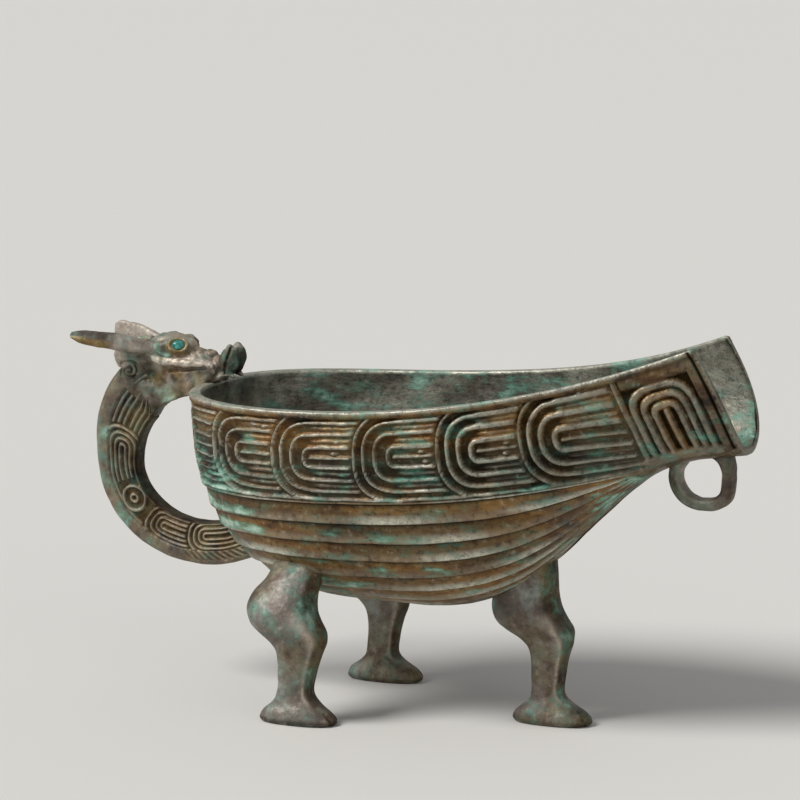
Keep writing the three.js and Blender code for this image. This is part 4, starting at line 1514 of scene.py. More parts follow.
@dataclass
class DragonHead:
    """The dragon's head, resting on the rear rim with its curled snout over the inside.

    An egg is a row of X, Y, Z, its three half lengths and its tilt. A rod's rows are X, Y, Z and
    its half sizes. A blot is X, its half length, Z and its half height.
    """

    jaw: Pairs = (
        (-112.0, 122.4), (-105.0, 126.4), (-96.0, 126.0), (-86.0, 123.0), (-77.6, 121.6),
        (-76.4, 118.6), (-78.8, 116.6), (-81.6, 114.6), (-84.6, 111.4), (-87.6, 109.4),
        (-92.0, 108.3), (-96.0, 107.0), (-98.8, 105.5), (-100.8, 103.8), (-102.2, 102.0),
        (-103.2, 100.2), (-104.6, 100.6), (-107.0, 104.4), (-112.0, 109.0), (-116.6, 113.4),
        (-116.4, 117.4),
    )
    jaw_half: float = 4.7
    eggs: Rows = (
        (-95.8, 0.0, 125.7, 10.2, 6.7, 6.3, 4.0),
        (-85.5, 0.0, 122.6, 9.6, 5.2, 4.3, 8.0),
        (-80.7, 0.0, 124.5, 2.8, 3.2, 2.4, 0.0),
        (-76.0, 0.0, 121.4, 5.0, 4.0, 3.6, 0.0),
        (-72.6, 0.0, 122.4, 3.2, 2.8, 4.4, 12.0),
    )
    twin_eggs: Rows = (
        (-71.7, 2.8, 123.5, 3.8, 2.5, 5.4, 12.0),
        (-71.3, 3.2, 128.2, 1.5, 1.4, 1.3, 0.0),
        (-91.0, 3.4, 115.6, 7.2, 2.7, 6.2, 20.0),
        (-101.4, 3.2, 110.8, 7.0, 2.5, 4.4, 10.0),
        (-111.4, 4.0, 117.4, 3.8, 2.4, 3.8, 0.0),
        (-98.6, 5.2, 126.6, 4.4, 2.2, 3.0, -20.0),
        (-111.6, 3.6, 122.4, 5.0, 2.6, 4.6, 30.0),
        (-78.2, 2.4, 116.6, 3.6, 2.3, 2.0, 0.0),
    )
    cheek_ridge: Rows = (
        (-106.6, 4.2, 127.4, 0.9, 1.0), (-103.4, 5.6, 124.6, 1.3, 1.3), (-99.6, 6.0, 122.0, 1.5, 1.4),
        (-92.0, 5.7, 121.6, 1.4, 1.4), (-84.0, 5.0, 121.8, 1.3, 1.3), (-77.6, 4.2, 121.0, 1.0, 1.0),
    )
    lip_curl: Rows = (
        (-76.6, 3.0, 116.2, 0.8, 0.8), (-75.0, 3.3, 117.8, 1.0, 1.0),
        (-72.0, 3.3, 118.4, 1.0, 1.0), (-69.6, 3.1, 117.4, 0.8, 0.8),
    )
    ear_flare: Rows = (
        (-107.0, 4.6, 126.6, 2.6, 2.0), (-112.0, 5.4, 125.8, 3.0, 1.9), (-115.2, 5.8, 123.6, 2.6, 1.6),
        (-115.6, 5.6, 120.6, 1.5, 1.2), (-115.0, 5.2, 118.0, 0.6, 0.8),
    )
    nape: Rows = (
        (-108.0, 0.0, 122.6, 3.0, 3.8), (-112.6, 0.0, 118.6, 3.4, 4.2),
        (-115.4, 0.0, 114.4, 3.4, 4.4), (-117.0, 0.0, 110.0, 2.4, 3.6),
    )
    eye: tuple[float, float, float] = (-91.6, 5.4, 128.2)
    eye_ring: float = 2.9
    eye_ring_half: float = 0.75
    eye_ring_scale: tuple[float, float, float] = (1.15, 0.86, 1.0)
    curl: tuple[float, float] = (-111.6, 117.5)
    curl_pitch: float = 2.1
    curl_cut: Span = (0.1, 0.24)
    curl_edge: Span = (4.6, 0.8)
    lobe: tuple[float, float] = (-71.8, 123.6)
    lobe_squash: float = 0.8
    lobe_edge: Span = (5.4, 1.5)
    roll_x: float = -72.0
    roll_slant: float = 0.3
    roll_cut: Span = (0.15, 0.8)
    flank: Span = (2.2, 1.4)
    snout: Span = (-77.5, 3.0)
    jowl: tuple[float, ...] = (-103.6, 4.2, 116.4, 3.6)
    fold_at: tuple[float, float] = (-90.0, 119.2)
    fold_slope: float = 0.12
    fold_cut: Span = (0.2, 0.9)
    fold_reach: tuple[Span, Span] = ((-99.0, 4.0), (-79.0, 3.0))
    wrinkle_slant: float = 0.85
    wrinkle_pitch: float = 2.6
    wrinkle_cut: Span = (0.06, 0.22)
    wrinkle_reach: tuple[Span, Span] = ((-90.0, 3.0), (-78.0, 3.0))
    wrinkle_above: Span = (123.4, 1.2)
    throat_at: tuple[float, float] = (-98.0, 106.0)
    throat_way: tuple[float, float] = (-0.75, -0.66)
    throat_run: float = 5.0
    throat_top: Span = (108.0, 4.0)
    teal_blots: Rows = ((-100.6, 3.0, 127.0, 2.4), (-95.4, 3.4, 124.4, 1.1))
    voxel: float = 0.42
    skin_lumps: Pairs = ((4.0, 0.24), (1.7, 0.3))

    def mass(self) -> Object:
        """Join the head's lumps and plates into one closed skin.

        Returns:
            The head before its marks are cut.
        """
        parts = [add_slab(self.jaw, self.jaw_half), add_rod(self.nape)]
        eggs = list(self.eggs)
        for side in Side:
            eggs += [(*(np.array(egg[:3]) * side.mirror), *egg[3:]) for egg in self.twin_eggs]
        parts += [add_egg(egg[:3], egg[3:6], (0.0, math.radians(egg[6]), 0.0)) for egg in eggs]
        for side in Side:
            for rod in (self.cheek_ridge, self.lip_curl, self.ear_flare):
                parts.append(add_rod(np.array(rod) * np.append(side.mirror, [1.0, 1.0])))
            ring = add_primitive(
                bpy.ops.mesh.primitive_torus_add,
                location=np.array(self.eye) * side.mirror * MM,
                rotation=eye_turn(side),
                major_radius=self.eye_ring * MM,
                minor_radius=self.eye_ring_half * MM,
                major_segments=40,
                minor_segments=12,
            )
            ring.scale = self.eye_ring_scale
            parts.append(ring)
        piece = join(parts)
        apply_modifier(piece, "REMESH", mode="VOXEL", voxel_size=self.voxel * MM)
        apply_modifier(piece, "SMOOTH", factor=0.5, iterations=3)
        return piece

    def carve(self, piece: Object) -> Tones:
        """Cut the curls, folds and hollows into the head.

        Args:
            piece: The head.

        Returns:
            The tones of its points.
        """
        points, outward = points_of(piece), normals_of(piece)
        x, y, z = points.T
        flank = rise(np.abs(y), *self.flank)
        snout = rise(x, *self.snout)
        away = np.hypot(x - self.curl[0], z - self.curl[1])
        swirl = np.arctan2(z - self.curl[1], x - self.curl[0]) / FULL_TURN
        coil = raised((away / self.curl_pitch - swirl) % 1.0 - 0.5, *self.curl_cut)
        coil = coil * fall(away, *self.curl_edge) * flank
        lobe = np.hypot(x - self.lobe[0], (z - self.lobe[1]) * self.lobe_squash)
        slant = x - self.roll_x - self.roll_slant * (z - self.lobe[1])
        roll = raised(slant, *self.roll_cut) * fall(lobe, *self.lobe_edge) * flank
        hollow = bell(x, *self.jowl[:2]) * bell(z, *self.jowl[2:]) * flank
        fold = z - self.fold_at[1] - self.fold_slope * (x - self.fold_at[0])
        fold = raised(fold, *self.fold_cut) * flank
        fold = fold * rise(x, *self.fold_reach[0]) * fall(x, *self.fold_reach[1])
        wrinkle = (self.wrinkle_slant * x + z) / self.wrinkle_pitch % 1.0 - 0.5
        wrinkle = raised(wrinkle, *self.wrinkle_cut) * rise(z, *self.wrinkle_above)
        wrinkle = wrinkle * rise(x, *self.wrinkle_reach[0]) * fall(x, *self.wrinkle_reach[1])
        throat = points[:, [0, 2]] - np.array(self.throat_at)
        throat = rise(throat @ np.array(self.throat_way), 0.0, self.throat_run)
        throat = throat * fall(z, *self.throat_top) * flank

        # Each mark with the depth of its cut and the dirt that it holds
        marks = (
            (coil, 0.6, 0.7), (roll, 0.4, 0.55), (hollow, 1.5, 0.7), (fold, 0.7, 0.5),
            (wrinkle, 0.3, 0.3), (throat, 1.1, 0.6), (snout, 0.0, 0.4),
        )
        cut = sum(mark * depth for mark, depth, _ in marks)
        soil = sum(mark * dirt for mark, _, dirt in marks)
        set_points(piece, points - outward * cut[:, None])

        path = thread([knot[:3] for knot in self.cheek_ridge], 60)
        apart = np.min(np.hypot(x[:, None] - path[:, 0], z[:, None] - path[:, 2]), axis=1)
        ridge = bell(apart, 0.0, 1.5) * flank
        eye_away = np.hypot(x - self.eye[0], z - self.eye[2])
        socket = raised(eye_away - self.eye_ring, 1.0, 0.8) * flank
        jaw = rise(x, -102.0, 8.0) * fall(z, 121.0, 2.0) * fall(x, -78.0, 4.0)
        teal = sum(bell(x, *blot[:2]) * bell(z, *blot[2:]) for blot in self.teal_blots)
        flare = fall(x, -111.6, 1.8) * rise(z, 117.6, 1.5) * flank
        tips = (rise(z, 127.2, 0.9) + fall(z, 118.8, 0.8)) * snout
        chin = jaw * rise(x, -93.0, 5.0)
        crown = (1.0 - snout) * rise(outward[:, 2], 0.3, 0.5)
        patch, fleck = lumps(points, 5.0, 53), lumps(points, 2.4, 54)
        ruddy = rise(patch, -0.7, 0.6)
        worn = 0.18 + 0.95 * ridge + 0.95 * flare + 0.25 * crown + 0.8 * tips + 0.12 * chin
        worn = (worn + 0.25 * patch) * (1.0 + 0.9 * fleck) * (1.0 - 0.55 * snout * (1.0 - smooth(tips)))
        rusty = jaw * (0.5 + 0.5 * ruddy) + hollow + 0.7 * crown * ruddy + 0.25 * throat
        green = 0.3 + 0.12 * jaw + 0.3 * snout + 0.35 * patch - 0.9 * socket
        return {
            Tone.WEAR_AND_HIGHLIGHT: worn * (1.0 - 0.55 * socket),
            Tone.DIRT_AND_SHADE: soil * (1.0 + 0.5 * fleck) + 0.2 * fall(fleck, -0.2, 0.4),
            Tone.OCHRE: 0.75 * socket + rusty,
            Tone.GREEN: np.maximum(green, 0.85 * teal + 0.2 * flare),
            Tone.GREY: 0.1 + 0.5 * flare,
        }

    def build(self, finish: Material) -> None:
        """Make the head and dress it.

        Args:
            finish: The bronze.
        """
        piece = self.mass()
        set_tones(piece, self.carve(piece))
        roughen(piece, self.skin_lumps, 51)
        settle(piece, "dragon_head", finish)


@dataclass
class Horn:
    """One swept-back horn: a flat paddle that widens toward its rounded end."""

    side: Side
    path: Rows = (
        (-100.5, 4.4, 126.2), (-106.0, 7.0, 127.2), (-113.0, 10.4, 128.6), (-120.0, 13.8, 129.8),
        (-126.0, 16.4, 130.8), (-129.4, 17.8, 131.4),
    )
    near_width: tuple[float, ...] = (2.2, 3.0, 3.7, 3.3, 2.7, 1.5)
    far_width: tuple[float, ...] = (2.2, 3.0, 3.9, 4.3, 3.9, 2.2)
    half_thick: tuple[float, ...] = (1.7, 1.7, 1.6, 1.5, 1.3, 0.6)
    near_tilt: float = 42.0
    far_tilt: float = 82.0
    far_droop: float = 2.6
    tip: float = 0.5
    squareness: float = 0.75
    count: int = 60
    around: int = 28
    skin_lumps: Pairs = ((5.0, 0.25), (2.0, 0.12))

    def build(self, finish: Material) -> None:
        """Make the horn and dress it.

        Args:
            finish: The bronze.
        """
        sign, far = self.side.value, self.side is Side.FAR
        width = self.far_width if far else self.near_width
        run = thread(np.column_stack([self.path, width, self.half_thick]), self.count)
        path = run[:, :3] * self.side.mirror
        path[:, 2] -= self.far_droop * far * smooth(np.linspace(0.0, 1.0, self.count))
        lean = math.radians(self.far_tilt if far else self.near_tilt)
        ahead, wide, thin = axes(path, (0.0, sign * math.sin(lean), math.cos(lean)))
        c, s = oval(self.around, self.squareness)
        rings = sweep(path, wide, thin, c * run[:, 3:4], s * run[:, 4:5])
        piece = add_loft(rings, path[0], path[-1] + ahead[-1] * self.tip)
        roughen(piece, self.skin_lumps, 61 + sign)
        points = points_of(piece)
        place = nearest(path, points)
        low = np.einsum("ij,ij->i", points - path[place], wide[place]) / run[place, 3]
        # The far horn is painted pale all over as painted light on its face turned to the lamp, and the
        # near horn's flat face is painted dark as painted shade; the near horn's ochre lower edge is its
        # own colour
        root = rise(points[:, 0], -117.0, 5.0)
        edge = rise(low * np.sign(-wide[0, 2]), 0.35, 0.3) * (1.0 - root) * (not far)
        top = (1.0 - edge) * (1.0 - root)
        patch = lumps(points, 3.0, 64)
        near_worn = 0.5 * root * (0.8 + 0.5 * patch) + top * (0.12 + 0.3 * patch)
        tones = {
            Tone.WEAR_AND_HIGHLIGHT: 0.7 + 0.2 * patch if far else near_worn,
            Tone.DIRT_AND_SHADE: 0.0 if far else 0.5 * top * (1.0 + 0.4 * patch),
            Tone.OCHRE: 0.1 + 0.75 * edge,
            Tone.GREEN: 0.04,
            Tone.GREY: 1.0 - 0.6 * edge,
        }
        set_tones(piece, tones)
        settle(piece, f"{self.side.word}_horn", finish)


@dataclass
class Eye:
    """One turquoise bead in the dragon's eye ring."""

    side: Side
    at: tuple[float, float, float] = (-91.5, 5.6, 128.3)
    radius: float = 2.3
    lid: float = 0.78
    flatness: float = 0.5

    def build(self, finish: Material) -> None:
        """Make the bead and dress it.

        Args:
            finish: The turquoise.
        """
        radii = (self.radius, self.radius * self.lid, self.radius * self.flatness)
        piece = add_egg(np.array(self.at) * self.side.mirror, radii, eye_turn(self.side))
        settle(piece, f"{self.side.word}_eye", finish)


@dataclass
class Leg:
    """One cast leg: a round thigh, a squared shin with a knee, and a flat foot with its toes ahead.

    A level is its height, how far it reaches back, ahead and to each side, its share of the lean,
    and the power of its outline.
    """

    node: str
    foot: tuple[float, float]
    lean: tuple[float, float]
    rake: float = 0.0
    shin: float = 1.0
    seed: int = 71
    levels: Rows = (
        (0.0, -14.0, 13.6, 6.5, 0.0, 2.6), (1.6, -15.0, 14.8, 7.4, 0.0, 2.7),
        (4.2, -13.8, 12.8, 7.1, 0.0, 2.8), (7.4, -10.6, 8.4, 6.2, 0.0, 3.0),
        (11.4, -8.7, 5.6, 5.9, 0.0, 3.4), (17.0, -8.0, 6.4, 6.3, 0.0, 3.7),
        (23.0, -7.8, 8.2, 7.1, 0.0, 3.7), (28.0, -9.6, 10.4, 8.0, 0.0, 3.2),
        (32.0, -15.0, 10.8, 8.9, 0.0, 2.7), (36.4, -19.0, 8.2, 9.6, 0.4, 2.4),
        (41.0, -20.4, 6.0, 9.8, 1.2, 2.3), (46.0, -18.8, 5.2, 9.2, 3.2, 2.3),
        (52.0, -14.6, 6.0, 8.4, 6.6, 2.4), (59.0, -13.0, 7.4, 7.6, 11.0, 2.4),
        (65.0, -12.0, 8.0, 7.0, 15.0, 2.4),
    )
    sole_rows: Pairs = ((0.0, 0.5), (0.15, 0.15), (0.5, 0.0))
    first_row: float = 0.9
    knee_z: float = 30.0
    knee_tall: float = 3.4
    knee_wide: float = 0.45
    toe_taper: float = 0.16
    toe_gap: float = 2.4
    toe_cut: float = 1.1
    toe_drop: float = 0.9
    toe_line: Span = (0.2, 0.9)
    toe_ahead: Span = (0.45, 0.35)
    toe_below: Span = (5.4, 2.6)
    taper_below: Span = (9.0, 5.0)
    slim_from: Span = (4.0, 6.0)
    slim_to: Span = (36.0, 6.0)
    sole_firm: Span = (1.0, 1.2)
    rough_from: Span = (0.6, 2.0)
    rings: int = 110
    around: int = 72
    skin_lumps: Pairs = ((9.0, 0.3), (4.0, 0.18))

    def outline(self) -> Array:
        """Rings of the leg from the sole up.

        Returns:
            Points as rings by points by three.
        """
        sole, inset = np.array(self.sole_rows).T
        above = np.linspace(self.first_row, self.levels[-1][0], self.rings - len(sole))
        z = np.concatenate([sole, above])[:, None]
        inset = np.concatenate([inset, np.zeros(len(above))])[:, None]
        heights, *sizes = zip(*self.levels)
        back, front, half, lean, power = (spline(list(zip(heights, size)), z) for size in sizes)
        slim = 1.0 + (self.shin - 1.0) * rise(z, *self.slim_from) * fall(z, *self.slim_to)
        back, front, half = back * slim, front * slim, half * slim
        c, s = oval(self.around, 2.0 / power)
        knee = bell(z, self.knee_z, self.knee_tall) * bell(s, 0.0, self.knee_wide) * (c > 0)
        taper = self.toe_taper * np.clip(c, 0, 1) ** 2 * fall(z, *self.taper_below)
        wide = (half - inset) * s * (1.0 - taper)
        toe = raised(np.abs(wide) - self.toe_gap, *self.toe_line)
        toe = toe * rise(c, *self.toe_ahead) * fall(z, *self.toe_below)
        reach = (front + back) / 2 + ((front - back) / 2 - inset) * c + knee - self.toe_cut * toe
        x = self.foot[0] + reach + lean * self.lean[0] - self.rake * z
        y = self.foot[1] + wide + lean * self.lean[1]
        high = z - self.toe_drop * toe * rise(z, *self.sole_firm)
        return np.stack([x, y, high], 2)

    def build(self, skin: BVHTree, finish: Material) -> None:
        """Make the leg and dress it.

        Args:
            skin: The bowl's outer skin.
            finish: The bronze.
        """
        rings = self.outline()
        piece = add_loft(rings, rings[0].mean(0), rings[-1].mean(0))
        roughen(piece, self.skin_lumps, self.seed, rise(points_of(piece)[:, 2], *self.rough_from))
        seat(piece, skin)
        points, forward = points_of(piece), normals_of(piece)[:, 0]
        high = points[:, 2]
        patch = rise(lumps(points, 13.0, self.seed + 2), -0.15, 0.5)
        # Faces turned ahead are painted darker and less rubbed as painted shade on the shaded front, with
        # greener patina there; the leg is also darker at the sole
        ahead = rise(forward, 0.4, 0.3)
        sole = fall(high, 3.0, 1.6)
        arris = bell(forward, 0.55, 0.2) * rise(high, 5.0, 5.0) * fall(high, 44.0, 8.0)
        rubbed = 0.14 * (1.0 - ahead) * (0.3 + 0.7 * patch) + 0.6 * arris
        dirt = 0.5 * ahead * rise(high, 3.0, 5.0) + 0.45 * sole
        salts = 0.16 * rise(patch, 0.2, 0.6) + 0.25 * ahead + 0.16 * rise(high, 34.0, 8.0)
        tones = {
            Tone.WEAR_AND_HIGHLIGHT: rubbed * (1.0 - sole),
            Tone.DIRT_AND_SHADE: np.maximum(dirt, 0.3 * (1.0 - patch)),
            Tone.OCHRE: 0.35 * (1.0 - patch) + 0.3 * ahead,
            Tone.GREEN: 0.1 + salts,
            Tone.GREY: 0.9 - 0.3 * ahead,
        }
        set_tones(piece, tones)
        settle(piece, self.node, finish)


@dataclass
class SpoutLoop:
    """Small strap loop under the spout, squarer on the lip's side."""

    centre: tuple[float, float] = (111.8, 94.4)
    radius: float = 9.9
    thick: float = 4.6
    width: float = 7.4
    flare: float = 0.3
    flare_from: Span = (0.1, 0.7)
    squareness: float = 0.7
    squarer_from: Span = (-0.15, 0.5)
    from_angle: float = 84.0
    to_angle: float = -222.0
    rings: int = 90
    around: int = 32
    skin_lumps: Pairs = ((5.0, 0.22), (2.2, 0.1))

    def build(self, skin: BVHTree, finish: Material) -> None:
        """Make the loop and dress it.

        Args:
            skin: The bowl's outer skin.
            finish: The bronze.
        """
        angle = np.radians(np.linspace(self.from_angle, self.to_angle, self.rings))
        c, s = np.cos(angle), np.sin(angle)
        out = np.stack([c, np.zeros_like(c), s], 1)
        power = 2.0 + rise(c, *self.squarer_from)
        reach = self.radius / (np.abs(c) ** power + np.abs(s) ** power) ** (1.0 / power)
        middle = np.array([self.centre[0], 0.0, self.centre[1]]) + out * reach[:, None]
        flare = 1.0 + self.flare * rise(s, *self.flare_from)[:, None]
        a, b = oval(self.around, self.squareness)
        rings = sweep(middle, out, ACROSS, a * self.thick / 2 * flare, b * self.width / 2 * flare)
        piece = add_loft(rings, middle[0], middle[-1])
        roughen(piece, self.skin_lumps, 81)
        seat(piece, skin)
        points = points_of(piece)
        # The inner face is painted paler as painted highlight where it turns up to the light, on top of
        # its rub, and the rest a little darker
        away = np.hypot(points[:, 0] - self.centre[0], points[:, 2] - self.centre[1])
        inner = fall(away, self.radius - 0.6, 1.2)
        patch = lumps(points, 6.0, 83)
        tones = {
            Tone.WEAR_AND_HIGHLIGHT: 0.4 * inner + 0.15 * patch,
            Tone.DIRT_AND_SHADE: 0.35 - 0.3 * inner,
            Tone.OCHRE: 0.25 + 0.1 * patch,
            Tone.GREEN: 0.05 + 0.2 * inner,
            Tone.GREY: 1.0,
        }
        set_tones(piece, tones)
        settle(piece, "spout_loop", finish)


def add_node(
    tree: bpy.types.NodeTree,
    kind: str,
    values: dict[str | int, float | tuple[float, ...]] | None = None,
    links: dict[str | int, bpy.types.NodeSocket] | None = None,
    stops: Sequence[tuple[float, str]] = (),
    **settings: str | float | bool,
) -> bpy.types.Node:
    """Add a node with its settings, values and links.

    Args:
        tree: The material's node tree.
        kind: The node's type.
        values: Fixed values by input.
        links: Sockets to link in, by input.
        stops: Places and hex colours of a colour ramp.
        **settings: The node's own settings.

    Returns:
        The node.
    """
    made = tree.nodes.new(kind)
    for key, value in settings.items():
        setattr(made, key, value)
    for key, value in (values or {}).items():
        made.inputs[key].default_value = value
    for key, socket in (links or {}).items():
        tree.links.new(socket, made.inputs[key])
    held = made.color_ramp.elements if stops else ()
    while len(held) < len(stops):
        held.new(0.5)
    for element, (place, code) in zip(held, stops):
        element.position = place
        element.color = linear(code)
    return made


def new_material(name: str) -> Material:
    """Add a material with an empty node tree.

    Args:
        name: The material's name.

    Returns:
        The material.
    """
    made = bpy.data.materials.new(name)
    made.use_nodes = True
    made.node_tree.nodes.clear()
    return made


@dataclass(frozen=True)
class Turquoise:
    """Turquoise-coloured bead, smooth and a little glassy, with paler clouds in it."""

    name: str = "turquoise_bead"
    deep: str = "#155f58"
    pale: str = "#58ab9d"
    cloud: float = 1.6
    roughness: float = 0.22

    def build(self) -> Material:
        """Make the material.

        Returns:
            The material.
        """
        made = new_material(self.name)
        tree = made.node_tree
        place = add_node(tree, "ShaderNodeTexCoord").outputs["Object"]
        scale = {"Scale": per_metre(self.cloud), "Detail": 4.0}
        noise = add_node(tree, "ShaderNodeTexNoise", scale, {"Vector": place}).outputs["Fac"]
        stops = ((0.36, self.deep), (0.66, self.pale))
        colour = add_node(tree, "ShaderNodeValToRGB", None, {"Fac": noise}, stops).outputs["Color"]
        gloss = {"Roughness": self.roughness}
        shader = add_node(tree, "ShaderNodeBsdfPrincipled", gloss, {"Base Color": colour})
        add_node(tree, "ShaderNodeOutputMaterial", links={"Surface": shader.outputs["BSDF"]})
        return made


@dataclass(frozen=True)
class Bronze:
    """Cast bronze with an old patina.

    Cast in clay moulds, long buried and then handled: dark brown metal shows on most faces, the
    hollows hold near-black green, raised edges are rubbed pale, and copper salts bloom turquoise.
    The pale rub also paints highlights, and the near-black hollow colour also paints shade.
    Pattern sizes are in millimetres. The grain of the casting skin is finer than the grain here,
    which is drawn as coarse as it needs to show.
    """

    name: str
    streak: float = 1.0
    dark: str = "#221b12"
    brown: str = "#473926"
    warm: str = "#665030"
    grey_dark: str = "#332b26"
    grey_brown: str = "#5b504a"
    grey_pale: str = "#86908a"
    rust: str = "#5c3a12"
    ochre: str = "#996e2b"
    film: str = "#4d6350"
    pale: str = "#d8d8c6"
    deep_green: str = "#21493b"
    turquoise: str = "#4b917c"
    bloom: str = "#a9c9b8"
    hollow: str = "#0b0b04"
    mottle: float = 9.0
    cloud: float = 34.0
    spot: float = 4.2
    grain: float = 1.2
    fleck: float = 2.4
    salt: float = 0.85
    pit: float = 0.6
    speck: float = 0.3
    matt: float = 0.32
    salt_matt: float = 0.64
    bare_metal: float = 0.4
    bump: float = 0.7
    bump_height: float = 0.7

    def build(self) -> Material:
        """Make the material.

        Returns:
            The material.
        """
        made = new_material(self.name)
        tree = made.node_tree
        place = add_node(tree, "ShaderNodeTexCoord").outputs["Object"]
        level = {"Scale": (self.streak, self.streak, 1.0)}
        flow = add_node(tree, "ShaderNodeMapping", level, {"Vector": place}).outputs["Vector"]
        value: dict[str, bpy.types.NodeSocket] = {}
        for tone in Tone:
            key = tone.value
            value[key] = add_node(tree, "ShaderNodeAttribute", attribute_name=key).outputs["Fac"]
        for key, size, detail, spots in (
            ("cloud", self.cloud, 3.0, place), ("mottle", self.mottle, 6.0, flow),
            ("spot", self.spot, 7.0, flow), ("grain", self.grain, 3.0, place),
            ("fleck", self.fleck, 4.0, place),
        ):
            scale = {"Scale": per_metre(size), "Detail": detail, "Roughness": 0.62}
            value[key] = add_node(tree, "ShaderNodeTexNoise", scale, {"Vector": spots}).outputs["Fac"]

        # Where each layer lies, worked up step by step from the patterns and the tones
        for key, step, values, sources in (
            ("reach", Step.SUM, {1: 0.34}, {0: "green", 2: "spot"}),
            ("reach", Step.SUM, {1: 0.42}, {0: "cloud", 2: "reach"}),
            ("bloom", Step.EASE, {1: 0.79, 2: 1.06}, {0: "reach"}),
            ("depth", Step.RANGE, {1: 0.84, 2: 1.16}, {0: "reach"}),
            ("patch", Step.EASE, {1: 0.3, 2: 0.56}, {0: "mottle"}),
            ("thin", Step.EASE, {1: 0.42, 2: 0.64}, {0: "spot"}),
            ("haze", Step.EASE, {1: 0.3, 2: 0.6}, {0: "cloud"}),
            ("rub", Step.EASE, {1: 0.14, 2: 0.6}, {0: "grain"}),
            ("pits", Step.EASE, {1: 0.52, 2: 0.68}, {0: "fleck"}),
            ("specks", Step.EASE, {1: 0.44, 2: 0.3}, {0: "fleck"}),
            ("gloss", Step.RANGE, {3: self.matt, 4: self.salt_matt}, {0: "bloom"}),
            ("gloss", Step.SUM, {1: 0.16}, {0: "grain", 2: "gloss"}),
            ("gloss", Step.SUM, {1: 0.2}, {0: "recess", 2: "gloss"}),
            ("bare", Step.RANGE, {3: self.bare_metal, 4: 0.0}, {0: "bloom"}),
            ("bare", Step.SUM, {1: 0.6}, {0: "recess", 2: "bare"}),
            ("height", Step.SUM, {1: 0.8}, {0: "grain", 2: "spot"}),
            ("height", Step.SUM, {1: -0.7}, {0: "fleck", 2: "height"}),
        ):
            kind, settings = step.value
            links = {socket: value[source] for socket, source in sources.items()}
            value[key] = add_node(tree, kind, values, links, **settings).outputs[0]
        for key, source, stops in (
            ("metal", "mottle", ((0.34, self.dark), (0.5, self.brown), (0.68, self.warm))),
            ("ashen", "mottle", ((0.32, self.grey_dark), (0.5, self.grey_brown), (0.66, self.grey_pale))),
            ("rusty", "spot", ((0.36, self.rust), (0.62, self.ochre))),
            ("salts", "depth", ((0.05, self.deep_green), (0.42, self.turquoise), (0.85, self.bloom))),
        ):
            links = {"Fac": value[source]}
            value[key] = add_node(tree, "ShaderNodeValToRGB", None, links, stops).outputs["Color"]

        # Layers from the metal up: a run of colours or one colour, its places and its strength. The pale
        # layer on the wear value is partly painted highlight, and the hollow layer on the dirt value is
        # partly painted shade.
        colour = value["metal"]
        for paint, places, strength in (
            ("ashen", ("grey",), 1.0),
            ("rusty", ("ochre", "patch"), 0.92),
            (self.film, ("thin", "haze"), 0.62),
            (self.pale, ("worn", "rub"), 0.92),
            ("salts", ("bloom", "rub"), self.salt),
            (self.dark, ("pits", "rub"), self.pit),
            (self.pale, ("specks", "rub"), self.speck),
            (self.hollow, ("recess", "recess"), 0.95),
        ):
            share, product = value[places[0]], {"operation": "MULTIPLY"}
            for other in places[1:]:
                links = {0: share, 1: value[other]}
                share = add_node(tree, "ShaderNodeMath", None, links, **product).outputs[0]
            share = add_node(tree, "ShaderNodeMath", {1: strength}, {0: share}, **product).outputs[0]
            values, links = {}, {FACTOR: share, UNDER: colour}
            if paint in value:
                links[OVER] = value[paint]
            else:
                values[OVER] = linear(paint)
            colour = add_node(tree, "ShaderNodeMix", values, links, data_type="RGBA").outputs[MIXED]

        bump = {"Strength": self.bump, "Distance": self.bump_height * MM}
        skin = add_node(tree, "ShaderNodeBump", bump, {"Height": value["height"]}).outputs["Normal"]
        links = {"Base Color": colour, "Roughness": value["gloss"], "Metallic": value["bare"]}
        shader = add_node(tree, "ShaderNodeBsdfPrincipled", links=links | {"Normal": skin})
        add_node(tree, "ShaderNodeOutputMaterial", links={"Surface": shader.outputs["BSDF"]})
        return made


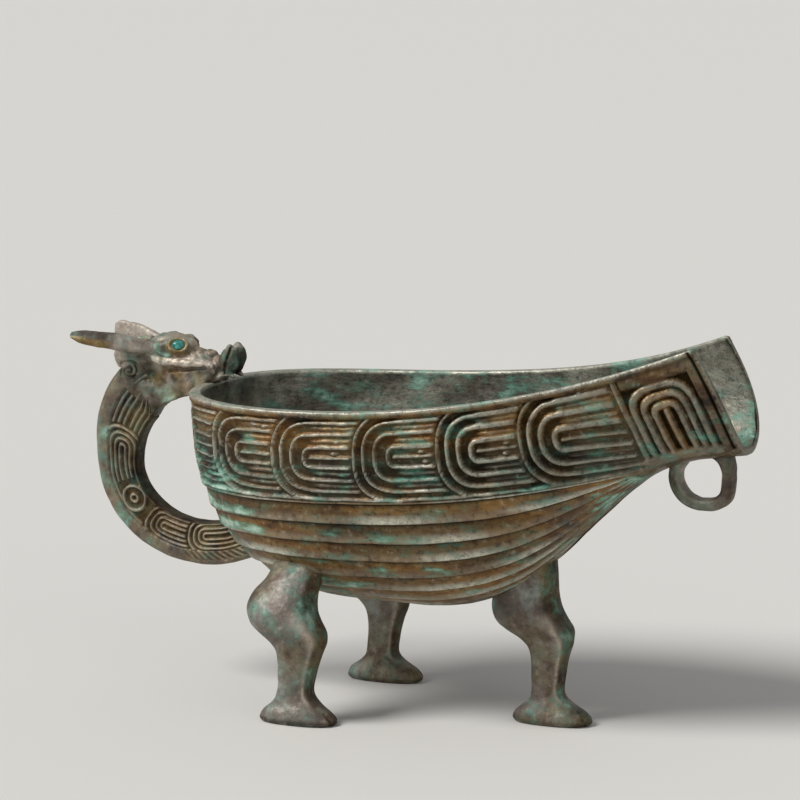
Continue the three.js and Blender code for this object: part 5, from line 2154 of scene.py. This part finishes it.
@dataclass
class Studio:
    """Plain pale floor, soft light from the upper left and the photograph's view."""

    target: tuple[float, float, float] = (-0.00468, 0.0, 0.11315)
    azimuth: float = 24.5
    elevation: float = 9.7
    distance: float = 1.62
    lens: float = 202.5
    sensor: float = 36.0
    floor_size: float = 8.0
    floor_colour: str = "#d8d5cf"
    floor_roughness: float = 0.8
    sky_colour: str = "#f4f6fa"
    sky: float = 0.36
    lit_point: tuple[float, float, float] = (0.0, 0.0, 0.08)
    lamps: tuple[tuple[str, tuple[float, float, float], float, float], ...] = (
        ("key_lamp", (-0.66, -0.7, 1.05), 26.0, 2.9),
        ("fill_lamp", (1.1, -0.9, 0.6), 50.0, 0.3),
    )

    def floor(self) -> None:
        """Lay the floor."""
        floor = add_primitive(bpy.ops.mesh.primitive_plane_add, size=self.floor_size)
        floor.name = "floor"
        made = bpy.data.materials.new("pale_matt_floor")
        made.use_nodes = True
        shader = made.node_tree.nodes["Principled BSDF"]
        shader.inputs["Base Color"].default_value = linear(self.floor_colour)
        shader.inputs["Roughness"].default_value = self.floor_roughness
        floor.data.materials.append(made)

    def stand(self, name: str, held: bpy.types.ID, at: Vector, toward: Vector) -> Object:
        """Stand a lamp or camera at a place, facing a direction.

        Args:
            name: The object's name.
            held: The lamp's or camera's data.
            at: Its place.
            toward: The direction that it faces.

        Returns:
            The new object.
        """
        made = bpy.data.objects.new(name, held)
        bpy.context.scene.collection.objects.link(made)
        made.location = at
        made.rotation_euler = toward.to_track_quat("-Z", "Y").to_euler()
        return made

    def build(self) -> None:
        """Set up the floor, the broad soft lamps, the sky and the camera."""
        self.floor()
        for name, at, spread_angle, power in self.lamps:
            light = bpy.data.lights.new(name, "SUN")
            light.angle = math.radians(spread_angle)
            light.energy = power
            self.stand(name, light, Vector(at), Vector(self.lit_point) - Vector(at))
        world = bpy.data.worlds.new("studio_sky")
        bpy.context.scene.world = world
        world.use_nodes = True
        sky = world.node_tree.nodes["Background"]
        sky.inputs["Color"].default_value = linear(self.sky_colour)
        sky.inputs["Strength"].default_value = self.sky
        bpy.context.scene.view_settings.view_transform = "Standard"
        a, e = math.radians(self.azimuth), math.radians(self.elevation)
        back = Vector((math.sin(a) * math.cos(e), -math.cos(a) * math.cos(e), math.sin(e)))
        held = bpy.data.cameras.new("camera")
        held.lens = self.lens
        held.sensor_width = self.sensor
        at = Vector(self.target) + back * self.distance
        bpy.context.scene.camera = self.stand("camera", held, at, -back)


def main() -> None:
    """Build the vessel piece by piece around its frame."""
    logging.basicConfig(level=logging.INFO, format="%(name)s: %(message)s")
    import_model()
    streaked = Bronze("patinated_cast_bronze_bowl", streak=0.35).build()
    bronze = Bronze(
        "patinated_cast_bronze_fittings",
        pale="#d0c3b3",
        ochre="#a58a45",
        film="#5f7466",
        turquoise="#4f8876",
        spot=7.5,
        salt=0.72,
        pit=0.35,
        speck=0.35,
        matt=0.43,
    ).build()
    turquoise = Turquoise().build()
    form = BowlForm()
    skin = form.skin()
    Bowl(form).build(streaked)
    HandleRing().build(skin, bronze)
    DragonHead().build(bronze)
    for side in Side:
        Horn(side).build(bronze)
        Eye(side).build(turquoise)
    Leg("rear_right_leg", (-27.4, -37.3), (0.0, 1.0), shin=0.88, seed=71).build(skin, bronze)
    Leg("rear_left_leg", (-27.4, 37.3), (0.0, -1.0), shin=0.78, seed=74).build(skin, bronze)
    Leg("front_leg", (55.8, 0.0), (-0.25, 0.0), rake=0.065, shin=0.78, seed=77).build(skin, bronze)
    SpoutLoop().build(skin, bronze)
    Studio().build()


if __name__ == "__main__":
    main()
